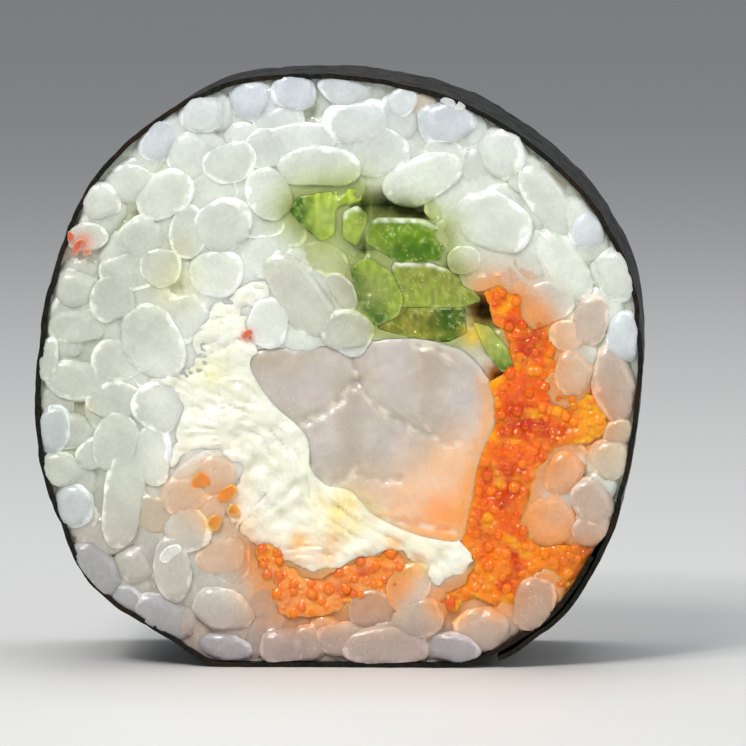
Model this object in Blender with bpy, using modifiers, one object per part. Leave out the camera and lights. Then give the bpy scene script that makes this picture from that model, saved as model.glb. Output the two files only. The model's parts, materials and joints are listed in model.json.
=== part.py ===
"""A slice of a thick maki roll, lying on its curved side with both cut faces upright.

The roll's axis runs along Y, and the cut face that the outlines describe looks along -Y. The origin is
on the surface that the slice rests on, under its middle. A sheet of nori goes round the rice and laps
over its own start at the lower right. Cream cheese, a shrimp, sticks of cucumber and two bands of roe
run through the rice. Lengths in this script are millimetres until a mesh is made.
"""

import math
import random

import bmesh
import bpy
from mathutils import Euler, Matrix, Vector, noise

MM = 0.001

# The slice
ROLL_LENGTH = 25.0
HALF_LENGTH = ROLL_LENGTH / 2
CLEARANCE = 0.3
OUTLINE_STEP = 2.3
SIDE_STEPS = 3

# The sheet of nori: its end is on top of its start for the length of the lap
NORI_THICKNESS = 0.45
LAP_GAP = 0.2
LAP_DEPTH = NORI_THICKNESS + LAP_GAP
LAP_LENGTH = 12.5
LAP_EASE = 4.0
WAVE_HEIGHT = 0.12
WAVE_WIDTH = 7.0
FLAT_UNDERSIDE = 1.0

# Cooked rice
GRAIN_LENGTH = (5.6, 7.0)
SHORT_GRAIN_LENGTH = (3.6, 4.8)
GRAIN_WIDTH = (3.0, 3.5)
GRAIN_SEGMENTS = 6
GRAIN_RINGS = 4
RICE_RECESS = 1.5
GRAIN_DEPTH = (1.15, 1.5)
GRAIN_FLATNESS = (0.85, 0.95)
GRAIN_TILT = 0.15
GRAIN_SPACING = 0.39
GRAIN_MARGIN = 0.38
KNIFE_MARKS = (0.05, 0.35)
TRIES = 9000
FRONT_GRAINS = (56, 26)
BACK_GRAINS = (40, 14)

# Roe
EGG_DIAMETER = (1.3, 1.8)
EGG_SEGMENTS = 6
EGG_RINGS = 4
ROE_RECESS = 1.0
EGG_SINK = (0.1, 0.4)
EGG_MARGIN = 0.42
FRONT_EGGS = {"roe_right": 30, "roe_bottom": 11}
BACK_EGGS = {"roe_right": 14, "roe_bottom": 5}

# The roll's outer outline, anticlockwise as (x, z), from the edge where the sheet ends
ROLL_OUTLINE = [
    (13.2, 0.6), (16.1, 2.1), (18.7, 4.3), (21.0, 7.7), (22.8, 11.4), (24.1, 16.7), (24.8, 22.0),
    (25.0, 27.0), (24.3, 32.1), (22.5, 36.0), (20.2, 39.2), (17.3, 42.0), (13.5, 44.9), (8.8, 47.2),
    (3.6, 48.4), (-1.6, 48.9), (-7.0, 48.6), (-11.1, 47.5), (-14.8, 45.3), (-18.2, 42.5),
    (-20.8, 39.2), (-22.9, 34.8), (-24.3, 29.3), (-25.0, 22.5), (-24.8, 17.5), (-23.4, 12.6),
    (-21.2, 7.8), (-18.5, 5.0), (-15.4, 3.0), (-12.2, 1.1), (-9.4, 0.0), (0.0, 0.0), (10.2, 0.0),
]

# Each filling's outline on the cut face, as (x, z)
SHRIMP = [
    (-6.7, 26.1), (-3.1, 26.3), (0.6, 26.6), (4.9, 27.1), (8.4, 26.7), (10.8, 25.7), (12.5, 23.4),
    (13.0, 21.2), (12.5, 18.8), (11.6, 16.3), (11.1, 13.4), (10.2, 10.3), (7.7, 10.3), (5.1, 11.1),
    (2.6, 12.4), (0.8, 14.3), (-1.2, 14.7), (-2.6, 16.4), (-2.9, 18.9), (-5.7, 21.6), (-7.5, 24.6),
]
CREAM_CHEESE = [
    (-5.1, 31.7), (-7.5, 28.8), (-6.9, 27.4), (-7.7, 25.4), (-5.6, 21.4), (-3.0, 18.8), (-2.4, 15.7),
    (0.6, 14.3), (2.5, 11.6), (5.4, 10.8), (8.4, 9.9), (10.7, 10.1), (11.3, 8.8), (8.4, 6.8),
    (7.0, 8.0), (5.2, 9.7), (3.6, 9.6), (0.6, 8.4), (-1.5, 7.8), (-3.4, 8.3), (-6.2, 9.8),
    (-9.3, 12.9), (-7.9, 15.7), (-11.3, 18.2), (-13.9, 16.3), (-13.1, 20.1), (-15.7, 23.5),
    (-12.2, 24.8), (-11.8, 27.5), (-8.2, 31.2),
]
ROE_RIGHT = [
    (12.0, 31.1), (14.9, 30.4), (17.7, 27.0), (18.0, 22.9), (21.3, 22.4), (21.6, 18.8), (17.9, 18.0),
    (15.6, 14.5), (15.7, 10.7), (18.4, 9.9), (21.0, 10.1), (20.9, 6.9), (18.9, 5.0), (17.6, 8.0),
    (15.6, 7.3), (14.1, 5.2), (10.8, 5.8), (9.7, 4.5), (8.5, 5.5), (10.8, 7.0), (11.8, 8.1),
    (11.5, 11.0), (12.3, 16.3), (13.4, 21.7), (14.8, 26.0), (13.3, 28.8),
]
ROE_BOTTOM = [
    (-6.6, 9.6), (-5.1, 9.8), (-3.8, 8.3), (-1.8, 7.5), (0.6, 8.3), (3.4, 9.4), (5.2, 9.3),
    (4.3, 5.8), (1.0, 5.2), (-1.3, 4.2), (-3.9, 4.0), (-5.9, 6.2),
]
CUCUMBER = [
    [(-4.1, 37.5), (-3.3, 38.7), (-0.7, 39.2), (1.6, 39.4), (2.0, 38.4), (-0.2, 37.8), (-0.2, 35.6),
     (-1.3, 34.9), (-2.8, 36.1)],
    [(0.4, 37.4), (1.5, 38.0), (2.5, 37.1), (1.6, 34.6), (0.4, 35.3)],
    [(2.9, 37.0), (6.9, 36.9), (8.6, 36.0), (8.9, 34.9), (8.2, 33.4), (4.9, 33.3), (2.1, 35.0)],
    [(0.9, 32.9), (2.3, 33.8), (4.4, 32.5), (5.4, 30.2), (4.9, 28.9), (3.0, 28.0), (1.8, 29.8)],
    [(4.2, 33.4), (7.7, 33.4), (10.0, 32.2), (11.8, 30.2), (10.2, 29.6), (7.5, 29.6), (5.0, 29.6)],
    [(3.0, 27.9), (4.8, 29.9), (7.7, 29.9), (10.4, 29.7), (10.6, 27.5), (8.9, 26.7), (6.2, 27.0)],
    [(11.0, 28.4), (12.5, 28.0), (13.9, 26.3), (14.4, 24.7), (13.5, 24.2), (12.0, 26.0)],
]

# How far each filling's cut face lies behind the knife's plane: at its middle, more at its rim,
# and the height and width of its bumps
FACE = {
    "shrimp": (0.15, 0.9, 0.25, 4.0),
    "cream_cheese": (0.5, 0.5, 0.45, 2.2),
    "cucumber": (0.35, 0.3, 0.15, 2.0),
    "roe": (ROE_RECESS, 0.0, 0.0, 1.0),
    "rice": (RICE_RECESS, 0.0, 0.2, 3.0),
}
FACE_GRID = {"shrimp": 2.4, "cream_cheese": 2.1, "cucumber": 1.7, "roe": 3.0, "rice": 6.0}
LEAST_RECESS = 0.05
RIM_WIDTH = 0.8
SHARP_ANGLE = math.radians(45)

COLOURS = {
    "nori": ((0.022, 0.024, 0.017), 0.45),
    "rice": ((0.62, 0.62, 0.56), 0.4),
    "cream_cheese": ((0.86, 0.86, 0.76), 0.6),
    "shrimp": ((0.60, 0.49, 0.40), 0.35),
    "cucumber": ((0.22, 0.32, 0.04), 0.35),
    "roe": ((0.75, 0.17, 0.01), 0.25),
}


def smooth_loop(points, steps):
    """Returns a closed curve through the points, with this many steps from each to the next."""
    loop = []
    count = len(points)
    for i in range(count):
        before, start, end, after = (Vector(points[(i + k) % count]) for k in (-1, 0, 1, 2))
        for k in range(steps):
            t = k / steps
            line = 2 * start + (end - before) * t
            square = (2 * before - 5 * start + 4 * end - after) * t**2
            cube = (3 * start - before - 3 * end + after) * t**3
            loop.append((line + square + cube) / 2)
    return loop


def cut_corners(points, times):
    """Returns the closed outline with each corner cut off at a quarter of its sides."""
    loop = [Vector(point) for point in points]
    for _ in range(times):
        sides = zip(loop, loop[1:] + loop[:1])
        loop = [start.lerp(end, t) for start, end in sides for t in (0.25, 0.75)]
    return loop


def spaced(loop, step):
    """Returns the closed outline as evenly spaced points, starting at its first."""
    ends = loop[1:] + loop[:1]
    lengths = [(end - start).length for start, end in zip(loop, ends)]
    total = sum(lengths)
    count = round(total / step)
    points = []
    for i in range(count):
        along = total * i / count
        k = 0
        while along > lengths[k] and k < len(loop) - 1:
            along -= lengths[k]
            k += 1
        points.append(loop[k].lerp(ends[k], along / lengths[k]))
    return points


def perimeter(loop):
    """Returns the length of the closed outline."""
    return sum((loop[i] - loop[i - 1]).length for i in range(len(loop)))


def random_place(rng, loop):
    """Returns a random point in the rectangle round an outline."""
    across = [point.x for point in loop]
    up = [point.y for point in loop]
    return Vector((rng.uniform(min(across), max(across)), rng.uniform(min(up), max(up))))


def anticlockwise(loop):
    """Returns the outline with its inside on the left."""
    ends = loop[1:] + loop[:1]
    area = sum(start.cross(end) for start, end in zip(loop, ends))
    return loop if area > 0 else loop[::-1]


def inward(loop, i):
    """Returns the direction into an anticlockwise outline at one point, longer at a sharp corner."""
    before = (loop[i] - loop[i - 1]).normalized()
    after = (loop[(i + 1) % len(loop)] - loop[i]).normalized()
    normal = before.orthogonal() + after.orthogonal()
    return normal * 2 / max(normal.length_squared, 1.0)


def moved_in(loop, distances):
    """Returns an anticlockwise outline moved inwards by one distance at each point."""
    return [point + inward(loop, i) * distances[i] for i, point in enumerate(loop)]


def grown(loop, distance):
    """Returns an anticlockwise outline enlarged by a distance all round."""
    return moved_in(loop, [-distance] * len(loop))


def inside(loop, point):
    """Tells whether a point is inside the outline."""
    crossings = 0
    for start, end in zip(loop, loop[1:] + loop[:1]):
        if (start.y > point.y) != (end.y > point.y):
            x = start.x + (end.x - start.x) * (point.y - start.y) / (end.y - start.y)
            crossings += x > point.x
    return crossings % 2 == 1


def to_side(start, end, point):
    """Returns the distance from a point to a straight side."""
    along = end - start
    t = (point - start).dot(along) / max(along.length_squared, 1e-9)
    return (point - start - along * min(max(t, 0.0), 1.0)).length


def to_outline(loop, point):
    """Returns the distance from a point to the outline."""
    return min(to_side(start, end, point) for start, end in zip(loop, loop[1:] + loop[:1]))


def eased(t):
    """Returns 0 to 1 with flat ends as t goes from 0 to 1."""
    t = min(max(t, 0.0), 1.0)
    return t * t * (3 - 2 * t)


def material(kind):
    """Returns the food's plain material."""
    found = bpy.data.materials.get(kind)
    if found:
        return found
    colour, roughness = COLOURS[kind]
    made = bpy.data.materials.new(kind)
    made.use_nodes = True
    shader = made.node_tree.nodes["Principled BSDF"]
    shader.inputs["Base Color"].default_value = (*colour, 1.0)
    shader.inputs["Roughness"].default_value = roughness
    return made


def new_object(name, bm, collection, kind=None):
    """Makes an object of a mesh in millimetres."""
    bmesh.ops.scale(bm, vec=(MM, MM, MM), verts=bm.verts)
    bmesh.ops.recalc_face_normals(bm, faces=bm.faces)
    mesh = bpy.data.meshes.new(name)
    bm.to_mesh(mesh)
    bm.free()
    if kind:
        mesh.materials.append(material(kind))
    obj = bpy.data.objects.new(name, mesh)
    collection.objects.link(obj)
    return obj


def prism(loop, front, back):
    """Returns a mesh of the outline drawn out along Y."""
    bm = bmesh.new()
    base = bm.faces.new([bm.verts.new((point.x, front, point.y)) for point in loop])
    drawn = bmesh.ops.extrude_face_region(bm, geom=[base])["geom"]
    ends = [item for item in drawn if isinstance(item, bmesh.types.BMVert)]
    bmesh.ops.translate(bm, vec=(0, back - front, 0), verts=ends)
    return bm


def cut_grid(bm, step):
    """Cuts the mesh by upright and level planes a step apart, so that its cut faces can take relief."""
    for axis in (0, 2):
        reach = [vert.co[axis] for vert in bm.verts]
        normal = Vector((axis == 0, 0, axis == 2))
        place = min(reach) + step / 2
        while place < max(reach):
            everything = bm.verts[:] + bm.edges[:] + bm.faces[:]
            bmesh.ops.bisect_plane(bm, geom=everything, plane_co=normal * place, plane_no=normal)
            place += step


def stick(loop, kind):
    """Returns the mesh of a filling that runs through the roll, with uneven cut faces."""
    middle, rim, height, width = FACE[kind]
    bm = prism(loop, -HALF_LENGTH, HALF_LENGTH)
    cut_grid(bm, FACE_GRID[kind])
    for vert in bm.verts:
        side = math.copysign(1.0, vert.co.y)
        edge = 1 - eased(to_outline(loop, vert.co.xz) / RIM_WIDTH)
        bump = noise.noise(Vector((vert.co.x, side * 9, vert.co.z)) / width)
        vert.co.y -= side * max(middle + rim * edge + height * bump, LEAST_RECESS)
    return bm


def shade(obj):
    """Smooths the object's shading where its faces meet at a shallow angle."""
    obj.data.shade_smooth()
    obj.data.set_sharp_from_angle(angle=SHARP_ANGLE)


def applied(obj):
    """Replaces the object's mesh with what its modifiers make."""
    bpy.context.view_layer.update()
    graph = bpy.context.evaluated_depsgraph_get()
    mesh = bpy.data.meshes.new_from_object(obj.evaluated_get(graph))
    old = obj.data
    obj.modifiers.clear()
    obj.data = mesh
    bpy.data.meshes.remove(old)


def combine(obj, operation, collection, solver="EXACT"):
    """Applies one Boolean between the object and a collection, whose objects are then removed."""
    change = obj.modifiers.new(operation.title(), "BOOLEAN")
    change.operation = operation
    change.operand_type = "COLLECTION"
    change.collection = collection
    change.solver = solver
    applied(obj)
    for tool in list(collection.objects):
        bpy.data.objects.remove(tool)


def cut_away(obj, loops, cutters):
    """Cuts the object back from the outlines, and leaves a clearance."""
    for loop in loops:
        cutter = new_object("Cutter", prism(grown(loop, CLEARANCE), -ROLL_LENGTH, ROLL_LENGTH), cutters)
        cutter.hide_render = True
        cutter.display_type = "WIRE"
    combine(obj, "DIFFERENCE", cutters, "MANIFOLD")


def trim(obj, loop, cutters):
    """Cuts away what lies outside the outline."""
    cutter = new_object("Cutter", prism(loop, -ROLL_LENGTH, ROLL_LENGTH), cutters)
    cutter.hide_render = True
    cutter.display_type = "WIRE"
    combine(obj, "INTERSECT", cutters, "MANIFOLD")


def islands(bm):
    """Returns the mesh's separate bodies, each as a list of its faces."""
    bodies = []
    left = set(bm.faces)
    while left:
        body = [left.pop()]
        for face in body:
            for edge in face.edges:
                near = [other for other in edge.link_faces if other in left]
                left.difference_update(near)
                body.extend(near)
        bodies.append(body)
    return bodies


def drop_scraps(obj):
    """Keeps the largest body, which drops loose scraps and fills sealed hollows."""
    bm = bmesh.new()
    bm.from_mesh(obj.data)
    bmesh.ops.triangulate(bm, faces=bm.faces)
    bodies = sorted(islands(bm), key=len)
    scraps = [face for body in bodies[:-1] for face in body]
    bmesh.ops.delete(bm, geom=scraps, context="FACES")
    bm.to_mesh(obj.data)
    bm.free()


def ellipsoid(centre, angles, sizes, segments, rings, knife):
    """Returns the mesh of a grain or an egg, flat where the knife's plane cut it.

    The knife is the plane's Y, and the grain is kept on the side nearer the roll's middle.
    """
    bm = bmesh.new()
    turn = Euler(angles).to_matrix().to_4x4()
    shape = Matrix.Diagonal((*(size / 2 for size in sizes), 1.0))
    place = Matrix.Translation(centre) @ turn @ shape
    bmesh.ops.create_uvsphere(bm, u_segments=segments, v_segments=rings, radius=1, matrix=place)
    for vert in bm.verts:
        vert.co.y = math.copysign(min(abs(vert.co.y), abs(knife)), vert.co.y)
    return bm


def apart(first, second):
    """Returns the distance between the middle lines of two grains lying in the cut face."""
    return min(
        to_side(*first, second[0]), to_side(*first, second[1]),
        to_side(*second, first[0]), to_side(*second, first[1]),
    )


def lay_grains(rng, rice_loop, fillings, counts):
    """Chooses where the grains lie on one cut face, the long ones first.

    Returns (middle line, length, width, turn) for each.
    """
    laid = []
    limits = [rice_loop, *fillings]
    for lengths, count in zip((GRAIN_LENGTH, SHORT_GRAIN_LENGTH), counts):
        placed = 0
        for _ in range(TRIES):
            if placed == count:
                break
            centre = random_place(rng, rice_loop)
            turn = rng.uniform(0, math.pi)
            length = rng.uniform(*lengths)
            width = rng.uniform(*GRAIN_WIDTH)
            reach = Vector((math.cos(turn), math.sin(turn))) * (length - width) / 2
            line = (centre - reach, centre + reach)
            if not all(inside(rice_loop, end) for end in line):
                continue
            if any(inside(loop, end) for loop in fillings for end in line):
                continue
            if min(to_outline(loop, end) for loop in limits for end in line) < width * GRAIN_MARGIN:
                continue
            if any(apart(line, other[0]) < (width + other[2]) * GRAIN_SPACING for other in laid):
                continue
            laid.append((line, length, width, turn))
            placed += 1
    return laid


def rice(collection, pieces, cutters, rice_loop, fillings):
    """Makes the rice: a recessed body with grains fused to both cut faces."""
    obj = new_object("rice", stick(rice_loop, "rice"), collection, "rice")
    for side, counts, seed in ((-1, FRONT_GRAINS, 4), (1, BACK_GRAINS, 9)):
        rng = random.Random(seed)
        for line, length, width, turn in lay_grains(rng, rice_loop, fillings, counts):
            middle = (line[0] + line[1]) / 2
            depth = HALF_LENGTH - rng.uniform(*GRAIN_DEPTH)
            centre = (middle.x, side * depth, middle.y)
            angles = (rng.uniform(-GRAIN_TILT, GRAIN_TILT), -turn, rng.uniform(-GRAIN_TILT, GRAIN_TILT))
            sizes = (length, width * rng.uniform(*GRAIN_FLATNESS), width)
            knife = side * (HALF_LENGTH - rng.uniform(*KNIFE_MARKS))
            grain = ellipsoid(centre, angles, sizes, GRAIN_SEGMENTS, GRAIN_RINGS, knife)
            new_object("Grain", grain, pieces)
    combine(obj, "UNION", pieces, "MANIFOLD")
    trim(obj, rice_loop, cutters)
    cut_away(obj, fillings, cutters)
    drop_scraps(obj)
    shade(obj)


def lay_eggs(rng, loop, count):
    """Chooses where the eggs lie on one cut face of a band of roe, as (place, diameter)."""
    laid = []
    for _ in range(TRIES):
        if len(laid) == count:
            break
        place = random_place(rng, loop)
        diameter = rng.uniform(*EGG_DIAMETER)
        if not inside(loop, place) or to_outline(loop, place) < diameter * EGG_MARGIN:
            continue
        if all((place - other).length > (diameter + size) / 2 for other, size in laid):
            laid.append((place, diameter))
    return laid


def roe(name, loop, limit, others, collection, pieces, cutters):
    """Makes a band of roe inside the limit: a body of jelly with eggs fused to both cut faces."""
    obj = new_object(name, stick(loop, "roe"), collection, "roe")
    for side, counts, seed in ((-1, FRONT_EGGS, 3), (1, BACK_EGGS, 5)):
        rng = random.Random(seed)
        for place, diameter in lay_eggs(rng, loop, counts[name]):
            depth = HALF_LENGTH - diameter / 2 - rng.uniform(*EGG_SINK)
            centre = (place.x, side * depth, place.y)
            angles = (rng.uniform(0, math.pi), rng.uniform(0, math.pi), 0)
            egg = ellipsoid(centre, angles, [diameter] * 3, EGG_SEGMENTS, EGG_RINGS, side * HALF_LENGTH)
            new_object("Egg", egg, pieces)
    combine(obj, "UNION", pieces, "MANIFOLD")
    trim(obj, loop, cutters)
    trim(obj, limit, cutters)
    cut_away(obj, others, cutters)
    drop_scraps(obj)
    shade(obj)


def filling(name, kind, loop, others, collection, cutters):
    """Makes one filling, cut back from those that press into it."""
    obj = new_object(name, stick(loop, kind), collection, kind)
    if others:
        cut_away(obj, others, cutters)
        drop_scraps(obj)
    shade(obj)


def sheet_depth(along, total):
    """Returns how deep the sheet lies below the roll's outline at a distance along it.

    The distance runs anticlockwise from the sheet's outer end, once round and on under that end. The
    sheet is pressed in before it comes there.
    """
    return LAP_DEPTH * eased((along - total) / LAP_EASE + 1)


def rice_depths(outline):
    """Returns how deep the rice lies below the roll's outline at each of its points."""
    total = perimeter(outline)
    depths = []
    for i in range(len(outline)):
        along = total * i / len(outline)
        lapped = LAP_DEPTH * (1 - eased((along - LAP_LENGTH) / LAP_EASE))
        depths.append(max(sheet_depth(along, total), lapped) + NORI_THICKNESS + CLEARANCE)
    return depths


def nori(collection, outline):
    """Makes the sheet of nori, whose two ends lap at the lower right."""
    count = len(outline)
    total = perimeter(outline)
    bm = bmesh.new()
    verts = []
    for i in range(count + int(count * LAP_LENGTH / total) + 1):
        depth = sheet_depth(total * i / count, total)
        point = outline[i % count] + inward(outline, i % count) * depth
        verts.append(bm.verts.new((point.x, -HALF_LENGTH, point.y)))
    edges = [bm.edges.new(pair) for pair in zip(verts, verts[1:])]
    for _ in range(SIDE_STEPS):
        drawn = bmesh.ops.extrude_edge_only(bm, edges=edges)["geom"]
        edges = [item for item in drawn if isinstance(item, bmesh.types.BMEdge)]
        ends = [item for item in drawn if isinstance(item, bmesh.types.BMVert)]
        bmesh.ops.translate(bm, vec=(0, ROLL_LENGTH / SIDE_STEPS, 0), verts=ends)
    middle = max(point.y for point in outline) / 2
    for vert in bm.verts:
        out = Vector((vert.co.x, 0, vert.co.z - middle)).normalized()
        wave = (noise.noise(vert.co / WAVE_WIDTH) - 1) * WAVE_HEIGHT
        vert.co += out * wave * eased(vert.co.z - FLAT_UNDERSIDE)
    obj = new_object("nori", bm, collection, "nori")
    sheet = obj.modifiers.new("Sheet", "SOLIDIFY")
    sheet.thickness = NORI_THICKNESS * MM
    sheet.offset = -1.0
    sheet.use_even_offset = True
    shade(obj)


def start_scene():
    """Empties the scene and returns the collections for the roll, its small pieces and its cutters."""
    for obj in list(bpy.data.objects):
        bpy.data.objects.remove(obj)
    made = []
    for name in ("Maki slice", "Pieces", "Cutters"):
        collection = bpy.data.collections.new(name)
        bpy.context.scene.collection.children.link(collection)
        made.append(collection)
    return made


def main():
    """Makes every piece of the slice."""
    collection, pieces, cutters = start_scene()
    outline = spaced(smooth_loop(ROLL_OUTLINE, 8), OUTLINE_STEP)
    outline = [Vector((point.x, max(point.y, 0.0))) for point in outline]
    rice_loop = moved_in(outline, rice_depths(outline))
    shrimp_loop = anticlockwise(smooth_loop(SHRIMP, 2))
    cheese_loop = anticlockwise(smooth_loop(CREAM_CHEESE, 3))
    roe_loops = {
        "roe_right": anticlockwise(smooth_loop(ROE_RIGHT, 2)),
        "roe_bottom": anticlockwise(smooth_loop(ROE_BOTTOM, 2)),
    }
    cucumber_loops = [anticlockwise(cut_corners(points, 1)) for points in CUCUMBER]

    nori(collection, outline)
    filling("shrimp", "shrimp", shrimp_loop, [], collection, cutters)
    for i, loop in enumerate(cucumber_loops):
        others = [shrimp_loop] + cucumber_loops[:i]
        filling(f"cucumber_{i + 1}", "cucumber", loop, others, collection, cutters)
    fitted = [shrimp_loop] + cucumber_loops
    for name, loop in roe_loops.items():
        roe(name, loop, rice_loop, fitted, collection, pieces, cutters)
        fitted.append(loop)
    filling("cream_cheese", "cream_cheese", cheese_loop, fitted, collection, cutters)
    rice(collection, pieces, cutters, rice_loop, fitted + [cheese_loop])


main()
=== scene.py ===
"""Dresses a slice of thick maki roll: nori, rice, shrimp, cream cheese, cucumber and roe.

The slice lies on its curved side, with its axis along Y and its front cut face looking along -Y. Each
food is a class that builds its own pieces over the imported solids. Lengths are millimetres until a mesh
is finished, and metres from then on.
"""

from __future__ import annotations

import json
import logging
import math
import random
from dataclasses import dataclass
from enum import Enum
from typing import Callable

import bmesh
import bpy
import numpy as np
from mathutils import Euler, Matrix, Vector, noise

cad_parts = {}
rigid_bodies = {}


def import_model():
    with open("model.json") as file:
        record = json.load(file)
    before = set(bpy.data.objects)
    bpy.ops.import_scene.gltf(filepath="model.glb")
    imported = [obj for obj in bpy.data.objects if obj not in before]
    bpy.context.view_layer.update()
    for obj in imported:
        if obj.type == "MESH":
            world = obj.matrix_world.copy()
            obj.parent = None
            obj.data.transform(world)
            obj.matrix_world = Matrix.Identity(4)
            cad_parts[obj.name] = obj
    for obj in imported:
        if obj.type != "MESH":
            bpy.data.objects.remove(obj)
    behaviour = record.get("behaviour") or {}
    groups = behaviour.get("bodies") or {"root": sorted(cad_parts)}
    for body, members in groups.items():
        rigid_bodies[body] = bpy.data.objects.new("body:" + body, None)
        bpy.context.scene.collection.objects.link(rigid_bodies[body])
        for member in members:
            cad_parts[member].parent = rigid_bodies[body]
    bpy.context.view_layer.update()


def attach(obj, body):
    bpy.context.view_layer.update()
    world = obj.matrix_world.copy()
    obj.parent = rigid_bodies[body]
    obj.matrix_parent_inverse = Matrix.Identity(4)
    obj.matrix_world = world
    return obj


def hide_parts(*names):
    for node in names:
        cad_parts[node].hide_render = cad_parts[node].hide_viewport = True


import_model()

LOG = logging.getLogger("maki")

MM = 0.001
ROLL_LENGTH = 25.0
HALF_LENGTH = ROLL_LENGTH / 2
# How many places are measured at once, to keep the arrays small
CHUNK = 4000
# The angles in degrees from which an edge stays sharp: on cut food and nori, and on grains and eggs
CUT_EDGE = 60
GRAIN_EDGE = 48
# How far from the roll's middle noise is read for a cut face, so that the two faces differ
NOISE_APART = 9

# The sheet of nori, whose end is on top of its start for the length of the lap, and the height of
# the roll's middle
NORI_THICKNESS = 0.4
LAP_DEPTH = 0.6
LAP_LENGTH = 12.5
LAP_EASE = 4.0
NORI_GAP = 0.03
ROLL_MIDDLE = 24.4

Pair = tuple[float, float]
Colour = tuple[float, float, float]
Egg = tuple[float, float, float, float]

# The roll's outer outline, anticlockwise as (x, z), from the edge where the sheet ends
ROLL_OUTLINE: list[Pair] = [
    (13.2, 0.6), (16.1, 2.1), (18.7, 4.3), (21.0, 7.7), (22.8, 11.4), (24.1, 16.7), (24.8, 22.0),
    (25.0, 27.0), (24.3, 32.1), (22.5, 36.0), (20.2, 39.2), (17.3, 42.0), (13.5, 44.9), (8.8, 47.2),
    (3.6, 48.4), (-1.6, 48.9), (-7.0, 48.6), (-11.1, 47.5), (-14.8, 45.3), (-18.2, 42.5),
    (-20.8, 39.2), (-22.9, 34.8), (-24.3, 29.3), (-25.0, 22.5), (-24.8, 17.5), (-23.4, 12.6),
    (-21.2, 7.8), (-18.5, 5.0), (-15.4, 3.0), (-12.2, 1.1), (-9.4, 0.0), (0.0, 0.0), (10.2, 0.0),
]

# Each filling's outline on the cut face, as (x, z)
SHRIMP: list[Pair] = [
    (-6.7, 26.1), (-3.1, 26.3), (0.6, 26.6), (4.9, 27.1), (8.4, 26.7), (10.8, 25.7), (12.5, 23.4),
    (13.0, 21.2), (12.5, 18.8), (11.6, 16.3), (11.1, 13.4), (10.2, 10.3), (7.7, 10.3), (5.1, 11.1),
    (2.6, 12.4), (0.8, 14.3), (-1.2, 14.7), (-2.6, 16.4), (-2.9, 18.9), (-5.7, 21.6), (-7.5, 24.6),
]
CREAM_CHEESE: list[Pair] = [
    (-5.1, 31.7), (-7.5, 28.8), (-6.9, 27.4), (-7.7, 25.4), (-5.6, 21.4), (-3.0, 18.8), (-2.4, 15.7),
    (0.6, 14.3), (2.5, 11.6), (5.4, 10.8), (8.4, 9.9), (10.7, 10.1), (11.3, 8.8), (8.4, 6.8),
    (7.0, 8.0), (5.2, 9.7), (3.6, 9.6), (0.6, 8.4), (-1.5, 7.8), (-3.4, 8.3), (-6.2, 9.8),
    (-9.3, 12.9), (-7.9, 15.7), (-11.3, 18.2), (-13.9, 16.3), (-13.1, 20.1), (-15.7, 23.5),
    (-12.2, 24.8), (-11.8, 27.5), (-8.2, 31.2),
]
ROE_RIGHT: list[Pair] = [
    (12.0, 31.1), (14.9, 30.4), (17.7, 27.0), (18.0, 22.9), (21.3, 22.4), (21.6, 18.8), (17.9, 18.0),
    (15.6, 14.5), (15.7, 10.7), (18.4, 9.9), (21.0, 10.1), (20.9, 6.9), (18.9, 5.0), (17.6, 8.0),
    (15.6, 7.3), (14.1, 5.2), (10.8, 5.8), (9.7, 4.5), (8.5, 5.5), (10.2, 7.1), (11.0, 8.4),
    (10.2, 11.0), (11.2, 16.3), (12.4, 21.7), (14.2, 26.0), (12.7, 28.8),
]
ROE_BOTTOM: list[Pair] = [
    (-6.6, 9.6), (-5.1, 9.8), (-3.8, 8.3), (-1.8, 7.5), (0.6, 8.3), (3.4, 9.4), (5.2, 9.3),
    (4.3, 5.8), (1.0, 5.2), (-1.3, 4.2), (-3.9, 4.0), (-5.9, 6.2),
]
CUCUMBER: list[list[Pair]] = [
    [(-4.1, 37.5), (-3.3, 38.7), (-0.7, 39.2), (1.6, 39.4), (2.0, 38.4), (-0.2, 37.8), (-0.2, 35.6),
     (-1.3, 34.9), (-2.8, 36.1)],
    [(0.4, 37.4), (1.5, 38.0), (2.5, 37.1), (1.6, 34.6), (0.4, 35.3)],
    [(2.9, 37.0), (6.9, 36.9), (8.6, 36.0), (8.9, 34.9), (8.2, 33.4), (4.9, 33.3), (2.1, 35.0)],
    [(0.9, 32.9), (2.3, 33.8), (4.4, 32.5), (5.4, 30.2), (4.9, 28.9), (3.0, 28.0), (1.8, 29.8)],
    [(4.2, 33.4), (7.7, 33.4), (10.0, 32.2), (11.8, 30.2), (10.2, 29.6), (7.5, 29.6), (5.0, 29.6)],
    [(3.0, 27.9), (4.8, 29.9), (7.7, 29.9), (10.4, 29.7), (10.6, 27.5), (8.9, 26.7), (6.2, 27.0)],
    [(11.0, 28.4), (12.5, 28.0), (13.9, 26.3), (14.4, 24.7), (13.5, 24.2), (12.0, 26.0)],
]
STICKS = [f"cucumber_{i + 1}" for i in range(len(CUCUMBER))]
# The sticks that stain the rice round them green
GREEN_STICKS = STICKS[:-1]


class Face(Enum):
    """One of the slice's two cut faces, by the side of the roll's middle that it is on."""

    FRONT = -1
    BACK = 1


class Slot(Enum):
    """The record's material slots."""

    NORI = "nori"
    RICE = "rice"
    CREAM_CHEESE = "cream_cheese"
    SHRIMP = "shrimp"
    CUCUMBER = "cucumber"
    ROE = "roe"


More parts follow.
